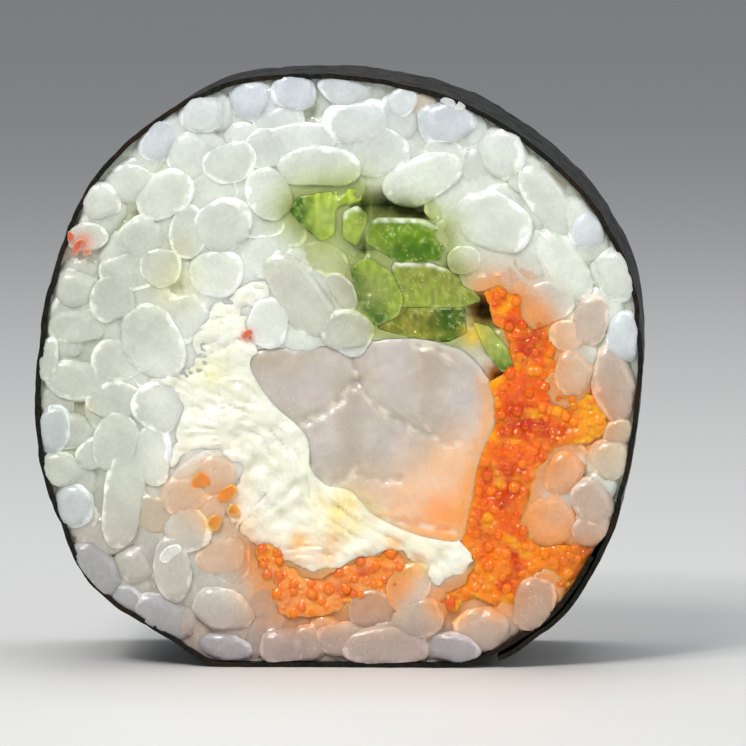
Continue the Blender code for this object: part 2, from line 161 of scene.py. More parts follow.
def smooth_loop(points: list[Pair], steps: int) -> list[Vector]:
    """Draws a smooth closed curve through points.

    Args:
        points: The corners of the outline.
        steps: How many steps lead from each point to the next.

    Returns:
        The curve's points.
    """
    loop = []
    count = len(points)
    for i in range(count):
        before, start, end, after = (Vector(points[(i + k) % count]) for k in (-1, 0, 1, 2))
        for k in range(steps):
            t = k / steps
            line = 2 * start + (end - before) * t
            square = (2 * before - 5 * start + 4 * end - after) * t**2
            cube = (3 * start - before - 3 * end + after) * t**3
            loop.append((line + square + cube) / 2)
    return loop


def cut_corners(points: list[Pair], share: float) -> list[Vector]:
    """Cuts an outline's corners off.

    Args:
        points: The corners of the outline.
        share: How much of each side the cuts take off at either end.

    Returns:
        The new outline's points.
    """
    loop = [Vector(point) for point in points]
    sides = zip(loop, loop[1:] + loop[:1])
    return [start.lerp(end, t) for start, end in sides for t in (share, 1 - share)]


def spaced(loop: list[Vector], step: float) -> list[Vector]:
    """Spaces the points of a closed outline evenly.

    Args:
        loop: The outline.
        step: About how far apart the new points are.

    Returns:
        The new points, starting at the outline's first.
    """
    ends = loop[1:] + loop[:1]
    lengths = [(end - start).length for start, end in zip(loop, ends)]
    total = sum(lengths)
    count = round(total / step)
    points = []
    for i in range(count):
        along = total * i / count
        k = 0
        while along > lengths[k] and k < len(loop) - 1:
            along -= lengths[k]
            k += 1
        points.append(loop[k].lerp(ends[k], along / lengths[k]))
    return points


def eased(t: float | np.ndarray) -> float | np.ndarray:
    """Returns 0 to 1 with flat ends as t goes from 0 to 1."""
    t = np.clip(t, 0.0, 1.0)
    return t * t * (3 - 2 * t)


def sheet_depth(along: float, total: float) -> float:
    """Returns how deep the nori lies at a distance along it, pressed in before its own outer end."""
    return LAP_DEPTH * eased((along - total) / LAP_EASE + 1)


def blend(first: Colour, second: Colour, share: float) -> Colour:
    """Returns a colour between two, by the second one's share."""
    share = min(max(share, 0.0), 1.0)
    return tuple(a + (b - a) * share for a, b in zip(first, second))


def mixed(colours: np.ndarray, colour: Colour, shares: np.ndarray | float) -> np.ndarray:
    """Returns colours, one a row, moved towards one colour by each row's share."""
    shares = np.clip(np.broadcast_to(shares, len(colours)), 0.0, 1.0)
    return colours + (np.array(colour) - colours) * shares[:, None]


def add_object(name: str, data: bpy.types.ID, collection: bpy.types.Collection | None = None
               ) -> bpy.types.Object:
    """Adds an object.

    Args:
        name: The object's name.
        data: Its mesh, light or camera.
        collection: Where it goes, or None for the scene itself.

    Returns:
        The new object.
    """
    obj = bpy.data.objects.new(name, data)
    (collection or bpy.context.scene.collection).objects.link(obj)
    return obj


class Outline:
    """A closed outline on the cut face, anticlockwise, as (x, z)."""

    def __init__(self, points: list[Vector]) -> None:
        """Turns the outline anticlockwise.

        Args:
            points: The outline's points, in either direction.
        """
        area = sum(start.cross(end) for start, end in zip(points, points[1:] + points[:1]))
        self.points = points if area > 0 else points[::-1]
        self.starts = np.array([point[:] for point in self.points])
        self.sides = np.roll(self.starts, -1, axis=0) - self.starts

    def inward(self, i: int) -> Vector:
        """Returns the direction into the outline at one point, longer at a sharp corner."""
        loop = self.points
        before = (loop[i] - loop[i - 1]).normalized()
        after = (loop[(i + 1) % len(loop)] - loop[i]).normalized()
        normal = before.orthogonal() + after.orthogonal()
        return normal * 2 / max(normal.length_squared, 1.0)

    def length(self) -> float:
        """Returns the outline's length."""
        return float(np.sqrt((self.sides**2).sum(-1)).sum())

    def depths(self, places: np.ndarray) -> np.ndarray:
        """Returns each place's distance from the outline, below zero outside it."""
        return self.measured(places)[0]

    def measured(self, places: np.ndarray) -> tuple[np.ndarray, np.ndarray]:
        """Measures how deep places lie inside the outline.

        Args:
            places: The places, one (x, z) a row.

        Returns:
            Each place's distance from the outline, below zero outside it, and the direction in which
            that distance grows.
        """
        found = np.empty(len(places))
        ways = np.empty((len(places), 2))
        lengths = np.maximum((self.sides**2).sum(-1), 1e-12)
        rise = np.where(np.abs(self.sides[:, 1]) < 1e-12, 1e-12, self.sides[:, 1])
        for first in range(0, len(places), CHUNK):
            part = places[first : first + CHUNK, None, :] - self.starts[None]
            t = np.clip((part * self.sides).sum(-1) / lengths, 0.0, 1.0)
            gaps = part - t[..., None] * self.sides
            squares = (gaps**2).sum(-1)
            best = squares.argmin(1)
            rows = np.arange(len(best))
            reach = np.sqrt(squares[rows, best])
            below = part[..., 1] < 0
            crosses = below != ((part - self.sides)[..., 1] < 0)
            right = self.sides[:, 0] * part[..., 1] / rise > part[..., 0]
            within = (crosses & right).sum(1) % 2 == 1
            found[first : first + CHUNK] = np.where(within, reach, -reach)
            way = gaps[rows, best] / np.maximum(reach, 1e-9)[:, None]
            ways[first : first + CHUNK] = np.where(within[:, None], way, -way)
        return found, ways

    def depth(self, x: float, z: float) -> float:
        """Returns how deep one place lies inside the outline, below zero outside it."""
        return float(self.depths(np.array([[x, z]]))[0])


@dataclass(frozen=True)
class Plan:
    """The outlines of everything in the slice.

    Attributes:
        roll: The outer face of the nori.
        rice: The outside of the rice, under the nori.
        fillings: Each filling's outline by the name of its solid.
    """

    roll: Outline
    rice: Outline
    fillings: dict[str, Outline]

    @staticmethod
    def drawn() -> Plan:
        """Draws the outlines."""
        loop = spaced(smooth_loop(ROLL_OUTLINE, 8), 0.6)
        roll = Outline([Vector((point.x, max(point.y, 0.0))) for point in loop])
        total = roll.length()
        count = len(roll.points)
        inner = []
        for i, point in enumerate(roll.points):
            along = total * i / count
            lapped = LAP_DEPTH * (1 - eased((along - LAP_LENGTH) / LAP_EASE))
            depth = max(lapped, sheet_depth(along, total)) + NORI_THICKNESS + NORI_GAP
            inner.append(point + roll.inward(i) * depth)
        fillings = {"shrimp": Outline(spaced(smooth_loop(SHRIMP, 6), 0.5))}
        for name, points in zip(STICKS, CUCUMBER):
            fillings[name] = Outline(spaced(cut_corners(points, 0.1), 0.3))
        rice = Outline(inner)
        roe = Outline(spaced(smooth_loop(ROE_RIGHT, 4), 0.35))
        roe = Plan.meeting(Plan.uneven(roe, 0.45, 1.2), fillings["shrimp"], 0.25)
        fillings["roe_right"] = Plan.held(roe, rice)
        roe = Outline(spaced(smooth_loop(ROE_BOTTOM, 4), 0.35))
        fillings["roe_bottom"] = Plan.uneven(roe, 0.5, 1.1)
        cheese = Outline(spaced(smooth_loop(CREAM_CHEESE, 5), 0.35))
        fillings["cream_cheese"] = Plan.meeting(Plan.uneven(cheese, 0.4, 1.2), fillings["shrimp"], 0.3)
        return Plan(roll, rice, fillings)

    @staticmethod
    def uneven(outline: Outline, height: float, size: float) -> Outline:
        """Returns an outline with ragged waves of about a height and a size."""
        loop = []
        for i, (x, z) in enumerate(outline.points):
            wave = noise.noise(Vector((x, 3, z)) / size) + 0.6 * noise.noise(Vector((x, 8, z)) / size * 2.1)
            loop.append(outline.points[i] + outline.inward(i).normalized() * height * wave)
        return Outline(loop)

    @staticmethod
    def meeting(outline: Outline, other: Outline, lap: float) -> Outline:
        """Returns an outline whose points near another one lie a short way inside it."""
        depths, ways = other.measured(outline.starts)
        short = np.where((depths > -0.9) & (depths < 1.6), lap - depths, 0.0)
        return Outline([Vector(place) for place in outline.starts + ways * short[:, None]])

    @staticmethod
    def held(outline: Outline, holder: Outline) -> Outline:
        """Returns an outline moved in where it would come out of the one round it."""
        depths, ways = holder.measured(outline.starts)
        moved = outline.starts + ways * np.maximum(0.08 - depths, 0.0)[:, None]
        return Outline([Vector(place) for place in moved])


class Mesher:
    """Turns meshes in millimetres into the scene's objects."""

    def __init__(self) -> None:
        """Makes the collection that holds the solids a Boolean takes in."""
        self.parts = bpy.data.collections.new("Parts")
        bpy.context.scene.collection.children.link(self.parts)

    def make(self, name: str, bm: bmesh.types.BMesh, collection: bpy.types.Collection | None = None
             ) -> bpy.types.Object:
        """Makes an object, still in millimetres.

        Args:
            name: The object's name.
            bm: Its mesh, which is freed.
            collection: Where it goes, or None for the scene itself.

        Returns:
            The new object.
        """
        mesh = bpy.data.meshes.new(name)
        bm.to_mesh(mesh)
        bm.free()
        return add_object(name, mesh, collection)

    def applied(self, obj: bpy.types.Object) -> None:
        """Replaces an object's mesh with what its modifiers make."""
        bpy.context.view_layer.update()
        graph = bpy.context.evaluated_depsgraph_get()
        mesh = bpy.data.meshes.new_from_object(obj.evaluated_get(graph))
        old = obj.data
        obj.modifiers.clear()
        obj.data = mesh
        bpy.data.meshes.remove(old)

    def combine(self, obj: bpy.types.Object, operation: str) -> None:
        """Applies one Boolean with all the waiting parts, and removes them.

        Args:
            obj: The object that changes.
            operation: UNION, DIFFERENCE or INTERSECT.
        """
        if not self.parts.objects:
            return
        change = obj.modifiers.new("Combine", "BOOLEAN")
        change.operation = operation
        change.operand_type = "COLLECTION"
        change.collection = self.parts
        change.solver = "MANIFOLD"
        self.applied(obj)
        for part in list(self.parts.objects):
            mesh = part.data
            bpy.data.objects.remove(part)
            bpy.data.meshes.remove(mesh)

    def finish(self, obj: bpy.types.Object, finish: bpy.types.Material, slot: Slot, sharp: float,
               *nodes: str) -> bpy.types.Object:
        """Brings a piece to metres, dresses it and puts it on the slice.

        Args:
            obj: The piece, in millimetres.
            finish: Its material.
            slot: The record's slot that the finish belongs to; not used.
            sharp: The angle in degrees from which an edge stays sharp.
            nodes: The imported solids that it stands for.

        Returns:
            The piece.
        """
        obj.data.transform(Matrix.Scale(MM, 4))
        obj.data.materials.clear()
        obj.data.materials.append(finish)
        obj.data.shade_smooth()
        obj.data.set_sharp_from_angle(angle=math.radians(sharp))
        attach(obj, "root")
        if nodes:
            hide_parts(*nodes)
        LOG.info("%s: %d faces", obj.name, len(obj.data.polygons))
        return obj


def prism(outline: Outline, front: float, back: float) -> bmesh.types.BMesh:
    """Draws an outline out along Y.

    Args:
        outline: The outline.
        front: The Y of its front end.
        back: The Y of its back end.

    Returns:
        A closed mesh.
    """
    bm = bmesh.new()
    base = bm.faces.new([bm.verts.new((x, front, z)) for x, z in outline.starts])
    drawn = bmesh.ops.extrude_face_region(bm, geom=[base])["geom"]
    ends = [item for item in drawn if isinstance(item, bmesh.types.BMVert)]
    bmesh.ops.translate(bm, vec=(0, back - front, 0), verts=ends)
    bmesh.ops.recalc_face_normals(bm, faces=bm.faces)
    return bm


def cut_grid(bm: bmesh.types.BMesh, step: float) -> None:
    """Cuts a mesh by upright and level planes, so that its cut faces can take relief.

    Args:
        bm: The mesh.
        step: How far apart the planes are.
    """
    for axis in (0, 2):
        reach = [vert.co[axis] for vert in bm.verts]
        normal = Vector((axis == 0, 0, axis == 2))
        place = min(reach) + step / 2
        while place < max(reach):
            everything = bm.verts[:] + bm.edges[:] + bm.faces[:]
            bmesh.ops.bisect_plane(bm, geom=everything, dist=1e-5, plane_co=normal * place,
                                   plane_no=normal)
            place += step


def paint(bm: bmesh.types.BMesh, tints: np.ndarray | list[Colour], seats: list[Vector]) -> None:
    """Gives each face's corners the attributes that a finish reads, which a Boolean keeps at its seams.

    Args:
        bm: The mesh.
        tints: The colour at each vertex.
        seats: Each vertex's place in its own grain or egg, in which the middle is 0 and the rim 1.
    """
    bm.verts.index_update()
    tint = bm.loops.layers.float_color.new("tint")
    seat = bm.loops.layers.float_vector.new("seat")
    for face in bm.faces:
        for loop in face.loops:
            loop[tint] = (*tints[loop.vert.index], 1.0)
            loop[seat] = seats[loop.vert.index]


class Graph:
    """Adds nodes to a shader tree and links them."""

    def __init__(self, tree: bpy.types.NodeTree) -> None:
        """Keeps the tree.

        Args:
            tree: A material's or a group's node tree.
        """
        self.tree = tree

    def add(self, kind: str, inputs: dict[str | int, object] | None = None, **settings: object
            ) -> bpy.types.Node:
        """Adds a node.

        Args:
            kind: The node's type without its Shader prefix.
            inputs: Its inputs by name or number, each a value or another node's output.
            settings: The node's own properties.

        Returns:
            The node.
        """
        node = self.tree.nodes.new(kind if kind.startswith("Node") else f"ShaderNode{kind}")
        for key, value in settings.items():
            setattr(node, key, value)
        for key, value in (inputs or {}).items():
            self.put(node.inputs[key], value)
        return node

    def put(self, socket: bpy.types.NodeSocket, value: object) -> None:
        """Links an output to a socket, or sets the socket's value."""
        if isinstance(value, bpy.types.NodeSocket):
            self.tree.links.new(value, socket)
        else:
            socket.default_value = value

    def math(self, operation: str, first: object, second: object = 0.0, third: object = 0.0
             ) -> bpy.types.NodeSocket:
        """Adds a Math node and returns its output."""
        return self.add("Math", {0: first, 1: second, 2: third}, operation=operation).outputs[0]

    def ramp(self, value: object, low: float, high: float, start: float = 0.0, end: float = 1.0
             ) -> bpy.types.NodeSocket:
        """Eases a value from start to end as it goes from low to high.

        Args:
            value: The value, usually an output.
            low: Where the change begins.
            high: Where the change ends.
            start: What comes out at low.
            end: What comes out at high.

        Returns:
            The eased output.
        """
        node = self.add("MapRange", {"Value": value, "From Min": low, "From Max": high,
                                     "To Min": start, "To Max": end},
                        interpolation_type="SMOOTHSTEP")
        return node.outputs["Result"]

    def noise(self, where: object, scale: float, detail: float = 3.0, rough: float = 0.55
              ) -> bpy.types.NodeSocket:
        """Adds a Noise Texture with this many features a metre and returns its value."""
        node = self.add("TexNoise", {"Vector": where, "Scale": scale, "Detail": detail,
                                     "Roughness": rough})
        return node.outputs["Fac"]

    def mix(self, share: object, first: object, second: object, kind: str = "MIX"
            ) -> bpy.types.NodeSocket:
        """Mixes two colours and returns the result."""
        node = self.add("Mix", {0: share, 6: first, 7: second}, data_type="RGBA", blend_type=kind)
        return node.outputs[2]

    def attribute(self, name: str, output: str = "Color") -> bpy.types.NodeSocket:
        """Reads an attribute of the mesh."""
        return self.add("Attribute", attribute_name=name).outputs[output]

    def here(self) -> bpy.types.NodeSocket:
        """Returns the place on the object."""
        return self.add("TexCoord").outputs["Object"]


def new_group(name: str, inputs: dict[str, tuple[str, object]], outputs: dict[str, str]
              ) -> tuple[bpy.types.NodeTree, Graph, bpy.types.Node, bpy.types.Node]:
    """Starts a shader node group.

    Args:
        name: The group's name.
        inputs: Each input's kind of socket and first value.
        outputs: Each output's kind of socket.

    Returns:
        The group, its graph, and its input and output nodes.
    """
    tree = bpy.data.node_groups.new(name, "ShaderNodeTree")
    for label, (kind, value) in inputs.items():
        socket = tree.interface.new_socket(name=label, in_out="INPUT", socket_type=f"NodeSocket{kind}")
        socket.default_value = value
    for label, kind in outputs.items():
        tree.interface.new_socket(name=label, in_out="OUTPUT", socket_type=f"NodeSocket{kind}")
    graph = Graph(tree)
    return tree, graph, graph.add("NodeGroupInput"), graph.add("NodeGroupOutput")


class Effects:
    """The effects that several finishes share, each a node group that is built once."""

    def __init__(self) -> None:
        """Builds the groups."""
        self.wet = self.build_wet()
        self.flecks = self.build_flecks()

    def build_wet(self) -> bpy.types.NodeTree:
        """Builds moist food's fine relief and uneven gloss.

        Returns:
            A group with the outputs Height, which feeds a Bump node, and Roughness.
        """
        tree, graph, given, out = new_group(
            "Moist surface",
            {"Coarse": ("Float", 1500.0), "Fine": ("Float", 6000.0), "Fine share": ("Float", 0.35),
             "Glossiest": ("Float", 0.2), "Dullest": ("Float", 0.5)},
            {"Height": "Float", "Roughness": "Float"})
        here = graph.here()
        coarse = graph.noise(here, given.outputs["Coarse"])
        fine = graph.noise(here, given.outputs["Fine"], 2.0)
        part = graph.math("MULTIPLY", fine, given.outputs["Fine share"])
        graph.put(out.inputs["Height"], graph.math("ADD", coarse, part))
        patches = graph.noise(here, 700.0, 2.0)
        node = graph.add("MapRange", {"Value": patches, "From Min": 0.35, "From Max": 0.65,
                                      "To Min": given.outputs["Glossiest"],
                                      "To Max": given.outputs["Dullest"]})
        graph.put(out.inputs["Roughness"], node.outputs["Result"])
        return tree

    def build_flecks(self) -> bpy.types.NodeTree:
        """Builds scattered small spots, which the finishes use as painted glints.

        Returns:
            A group with the output Mask, 1 in a spot.
        """
        tree, graph, given, out = new_group(
            "Flecks",
            {"Scale": ("Float", 2500.0), "Size": ("Float", 0.16), "Patchiness": ("Float", 300.0)},
            {"Mask": "Float"})
        here = graph.here()
        cells = graph.add("TexVoronoi", {"Vector": here, "Scale": given.outputs["Scale"]})
        spot = graph.math("LESS_THAN", cells.outputs["Distance"], given.outputs["Size"])
        patch = graph.ramp(graph.noise(here, given.outputs["Patchiness"], 2.0), 0.48, 0.6)
        graph.put(out.inputs["Mask"], graph.math("MULTIPLY", spot, patch))
        return tree


@dataclass(frozen=True)
class Finish:
    """A food's material.

    Attributes:
        name: The material's name.
        coat: The weight of the wet film on it.
        coat_roughness: How dull that film is.
        scatter: The weight of the light that goes in and comes out again.
        reach: How far that light goes for red, green and blue, in millimetres.
        bump: The height of the fine relief, in millimetres.
        coarse: Coarse relief's features a metre.
        fine: Fine relief's features a metre.
        gloss: The least and the most roughness.
        shine: How much the surface under the film reflects, 0.5 for most foods.
    """

    name: str
    coat: float = 0.3
    coat_roughness: float = 0.2
    scatter: float = 0.6
    reach: Colour = (0.8, 0.8, 0.7)
    bump: float = 0.04
    coarse: float = 1500.0
    fine: float = 6000.0
    gloss: Pair = (0.25, 0.5)
    shine: float = 0.4

    def colour(self, graph: Graph, effects: Effects) -> bpy.types.NodeSocket:
        """Returns the output that carries the food's colour."""
        raise NotImplementedError

    def height(self, graph: Graph, fine: bpy.types.NodeSocket) -> bpy.types.NodeSocket:
        """Returns the output that carries the relief's height."""
        return fine

    def build(self, effects: Effects) -> bpy.types.Material:
        """Builds the material.

        Args:
            effects: The shared effects.

        Returns:
            The material.
        """
        made = bpy.data.materials.new(self.name)
        made.use_nodes = True
        graph = Graph(made.node_tree)
        shader = made.node_tree.nodes["Principled BSDF"]
        graph.put(shader.inputs["Base Color"], self.colour(graph, effects))
        wet = graph.add("Group", node_tree=effects.wet)
        for label, value in (("Coarse", self.coarse), ("Fine", self.fine),
                             ("Glossiest", self.gloss[0]), ("Dullest", self.gloss[1])):
            wet.inputs[label].default_value = value
        graph.put(shader.inputs["Roughness"], wet.outputs["Roughness"])
        height = self.height(graph, wet.outputs["Height"])
        bump = graph.add("Bump", {"Strength": 1.0, "Distance": self.bump * MM, "Height": height})
        graph.put(shader.inputs["Normal"], bump.outputs["Normal"])
        shader.inputs["Specular IOR Level"].default_value = self.shine
        shader.inputs["Coat Weight"].default_value = self.coat
        shader.inputs["Coat Roughness"].default_value = self.coat_roughness
        shader.inputs["Subsurface Weight"].default_value = self.scatter
        shader.inputs["Subsurface Radius"].default_value = self.reach
        shader.inputs["Subsurface Scale"].default_value = MM
        return made


@dataclass(frozen=True)
class RiceFinish(Finish):
    """Cooked rice: pearly, with painted highlights at the grains' rims and painted olive shade in the
    crevices.

    Attributes:
        rim: How much lighter a grain's rim is, as a painted highlight.
        heart: How much darker a grain's middle is.
        crevice_shade: What the colour is multiplied by deep between the grains, as painted shade.
        paste: The colour of the painted glints, small white specks.
    """

    rim: float = 1.5
    heart: float = 0.92
    crevice_shade: Colour = (0.82, 0.80, 0.64)
    paste: Colour = (0.93, 0.95, 0.9)

    def colour(self, graph: Graph, effects: Effects) -> bpy.types.NodeSocket:
        """Returns the tint, with painted highlights at the rim, painted glints and painted crevice shade.
        """
        tint = graph.attribute("tint")
        # Painted highlight: each grain is lighter towards its rim and a little darker in its middle
        seat = graph.add("SeparateXYZ", {"Vector": graph.attribute("seat", "Vector")})
        across = graph.math("MULTIPLY", seat.outputs["X"], seat.outputs["X"])
        across = graph.math("MULTIPLY_ADD", seat.outputs["Z"], seat.outputs["Z"], across)
        cloud = graph.noise(graph.here(), 900.0, 3.0)
        edge = graph.math("ADD", graph.math("SQRT", across), graph.ramp(cloud, 0.3, 0.7, -0.1, 0.1))
        share = graph.ramp(edge, 0.74, 0.96, self.heart, self.rim)
        grainy = graph.ramp(graph.noise(graph.here(), 3000.0, 3.0), 0.3, 0.7, 0.96, 1.04)
        pearly = graph.ramp(graph.noise(graph.here(), 500.0, 2.0), 0.35, 0.65, 0.94, 1.04)
        share = graph.math("MULTIPLY", share, graph.math("MULTIPLY", grainy, pearly))
        lit = graph.mix(1.0, tint, graph.add("CombineColor", {0: share, 1: share, 2: share}).outputs[0],
                        "MULTIPLY")
        # Painted glints: small white specks
        flecks = graph.add("Group", node_tree=effects.flecks)
        flecks.inputs["Scale"].default_value = 3200.0
        glint_mask = graph.math("MULTIPLY", flecks.outputs["Mask"], 0.35)
        lit = graph.mix(glint_mask, lit, (*self.paste, 1.0))
        # Painted shade: darker deep between the grains
        place = graph.add("SeparateXYZ", {"Vector": graph.here()}).outputs["Y"]
        depth = graph.math("SUBTRACT", HALF_LENGTH * MM, graph.math("ABSOLUTE", place))
        deep = graph.ramp(depth, 0.5 * MM, 1.5 * MM, 0.0, 1.0)
        return graph.mix(deep, lit, (*self.crevice_shade, 1.0), "MULTIPLY")


@dataclass(frozen=True)
class NoriFinish(Finish):
    """Pressed seaweed: brown-black, with fibres, paler flecks and a soft shine."""

    dark: Colour = (0.006, 0.007, 0.005)
    light: Colour = (0.022, 0.020, 0.013)
    rust: Colour = (0.032, 0.016, 0.009)

    def fibres(self, graph: Graph) -> bpy.types.NodeSocket:
        """Returns the value of fibres that lie along the sheet."""
        long = graph.add("Mapping", {"Vector": graph.here(), "Scale": (1.0, 0.22, 1.0)})
        return graph.noise(long.outputs[0], 2600.0, 4.0, 0.7)

    def colour(self, graph: Graph, effects: Effects) -> bpy.types.NodeSocket:
        """Returns dark green-brown with paler fibres and rusty patches."""
        streaks = graph.ramp(self.fibres(graph), 0.42, 0.68)
        patch = graph.ramp(graph.noise(graph.here(), 260.0, 3.0), 0.45, 0.7, 0.0, 0.6)
        base = graph.mix(streaks, (*self.dark, 1.0), (*self.light, 1.0))
        return graph.mix(patch, base, (*self.rust, 1.0))

    def height(self, graph: Graph, fine: bpy.types.NodeSocket) -> bpy.types.NodeSocket:
        """Returns fine relief with the fibres on it."""
        return graph.math("ADD", fine, self.fibres(graph))


@dataclass(frozen=True)
class TintFinish(Finish):
    """A food whose colour is painted on its mesh, broken up by cloudiness and by flecks that are painted
    glints.

    Attributes:
        cloud: The colour of its cloudy patches.
        cloudiness: How strong they are.
        cloud_scale: Their number a metre.
        glint_colour: The colour of its flecks, which are painted glints.
        glint_share: How strong they are.
        glint_scale: Their number a metre.
    """

    cloud: Colour = (0.9, 0.9, 0.85)
    cloudiness: float = 0.3
    cloud_scale: float = 500.0
    glint_colour: Colour = (0.95, 0.95, 0.9)
    glint_share: float = 0.3
    glint_scale: float = 2500.0

    def colour(self, graph: Graph, effects: Effects) -> bpy.types.NodeSocket:
        """Returns the painted colour with clouds and painted glints."""
        cloudy = graph.ramp(graph.noise(graph.here(), self.cloud_scale, 4.0), 0.45, 0.7, 0.0,
                            self.cloudiness)
        base = graph.mix(cloudy, graph.attribute("tint"), (*self.cloud, 1.0))
        # Painted glints: small pale flecks
        flecks = graph.add("Group", node_tree=effects.flecks)
        flecks.inputs["Scale"].default_value = self.glint_scale
        glint_mask = graph.math("MULTIPLY", flecks.outputs["Mask"], self.glint_share)
        return graph.mix(glint_mask, base, (*self.glint_colour, 1.0))


@dataclass(frozen=True)
class RoeFinish(Finish):
    """Fish eggs: deep orange above, where the light goes in, and bright below, where it gathers.

    Attributes:
        glow: The colour where the light gathers.
        rim: The colour of the rims of the eggs that lie in the jelly, a painted highlight.
        eggs: How many of those eggs there are a metre.
        painted_glint: The colour of the painted glints, small pale spots on the jelly.
    """

    glow: Colour = (0.88, 0.27, 0.006)
    rim: Colour = (0.93, 0.36, 0.01)
    eggs: float = 1500.0
    painted_glint: Colour = (0.95, 0.62, 0.20)

    def across(self, graph: Graph) -> bpy.types.NodeSocket:
        """Returns how far a place is from the middle of the nearest egg in the jelly."""
        bent = graph.add("TexNoise", {"Vector": graph.here(), "Scale": 700.0, "Detail": 2.0})
        bent = graph.add("VectorMath", {0: bent.outputs["Color"], "Scale": 0.0006}, operation="SCALE")
        bent = graph.add("VectorMath", {0: graph.here(), 1: bent.outputs[0]}, operation="ADD")
        cells = graph.add("TexVoronoi", {"Vector": bent.outputs[0], "Scale": self.eggs})
        return cells.outputs["Distance"]

    def in_jelly(self, graph: Graph) -> bpy.types.NodeSocket:
        """Returns 1 on the jelly and 0 on an egg that stands out of it."""
        reach = graph.add("VectorMath", {0: graph.attribute("seat", "Vector")}, operation="LENGTH")
        return graph.math("LESS_THAN", reach.outputs["Value"], 0.8)

    def colour(self, graph: Graph, effects: Effects) -> bpy.types.NodeSocket:
        """Returns the egg's own tint, brighter towards its lower side."""
        seat = graph.add("SeparateXYZ", {"Vector": graph.attribute("seat", "Vector")})
        low = graph.ramp(seat.outputs["Z"], 0.1, -0.75, 0.0, 0.75)
        mottled = graph.ramp(graph.noise(graph.here(), 900.0, 3.0), 0.35, 0.65, 0.5, 1.0)
        base = graph.mix(graph.math("MULTIPLY", low, mottled), graph.attribute("tint"), (*self.glow, 1.0))
        across = self.across(graph)
        # Painted highlight: a faint lighter outline round each egg in the jelly
        ring = graph.math("MULTIPLY", graph.ramp(across, 0.3, 0.42), graph.ramp(across, 0.58, 0.44))
        ring = graph.math("MULTIPLY", ring, self.in_jelly(graph))
        base = graph.mix(graph.math("MULTIPLY", ring, 0.18), base, (*self.rim, 1.0))
        # Painted glints: small pale spots on the jelly
        flecks = graph.add("Group", node_tree=effects.flecks)
        for label, value in (("Scale", 1300.0), ("Size", 0.17), ("Patchiness", 500.0)):
            flecks.inputs[label].default_value = value
        bright = graph.math("MULTIPLY", flecks.outputs["Mask"], 0.7)
        return graph.mix(bright, base, (*self.painted_glint, 1.0))

    def height(self, graph: Graph, fine: bpy.types.NodeSocket) -> bpy.types.NodeSocket:
        """Returns fine relief with the eggs that lie in the jelly."""
        dome = graph.math("MULTIPLY", graph.ramp(self.across(graph), 0.6, 0.05), self.in_jelly(graph))
        return graph.math("MULTIPLY_ADD", dome, 5.0, fine)


class Tint(Enum):
    """The rice's colours: plain, tinted by what lies next to it, and painted cool light and painted shade.
    """

    PLAIN = (0.73, 0.78, 0.70)
    # White starch and cheese smears, and one painted glint among the placed grains
    PASTE = (0.88, 0.90, 0.82)
    # Painted cool light from above, on the top and the rim
    BLUISH = (0.64, 0.69, 0.75)
    CLEAR = (0.53, 0.53, 0.44)
    STEEL = (0.50, 0.55, 0.58)
    # Painted shade, on grains at the bottom
    DUSKY = (0.36, 0.37, 0.41)
    OLIVE = (0.45, 0.40, 0.14)
    LEFT = (0.59, 0.62, 0.54)
    AMONG_GREEN = (0.30, 0.36, 0.07)
    GREEN = (0.50, 0.56, 0.22)
    # Painted shade, darker and pinker towards the bottom
    LOW = (0.46, 0.37, 0.33)
    PEACH = (0.72, 0.47, 0.30)
    ORANGE = (0.86, 0.33, 0.07)
    TAN = (0.58, 0.45, 0.30)
    MAUVE = (0.53, 0.36, 0.27)
    EGG = (0.86, 0.27, 0.02)
    RED = (0.78, 0.13, 0.05)


@dataclass(frozen=True)
class Grain:
    """One grain of rice on a cut face.

    Attributes:
        x: Its middle across the face.
        z: Its middle up the face.
        length: Its length.
        width: Its width.
        turn: The angle of its length to the level, in degrees anticlockwise.
        sink: How far its nearest point lies behind the knife's plane.
        tint: Its colour, or None for the colour that its place gives.
    """

    x: float
    z: float
    length: float
    width: float
    turn: float
    sink: float
    tint: Tint | None = None

    def ends(self) -> np.ndarray:
        """Returns the two ends of its middle line and its middle."""
        turn = math.radians(self.turn)
        reach = np.array((math.cos(turn), math.sin(turn))) * max(self.length - self.width, 0.1) / 2
        middle = np.array((self.x, self.z))
        return np.array((middle - reach, middle, middle + reach))
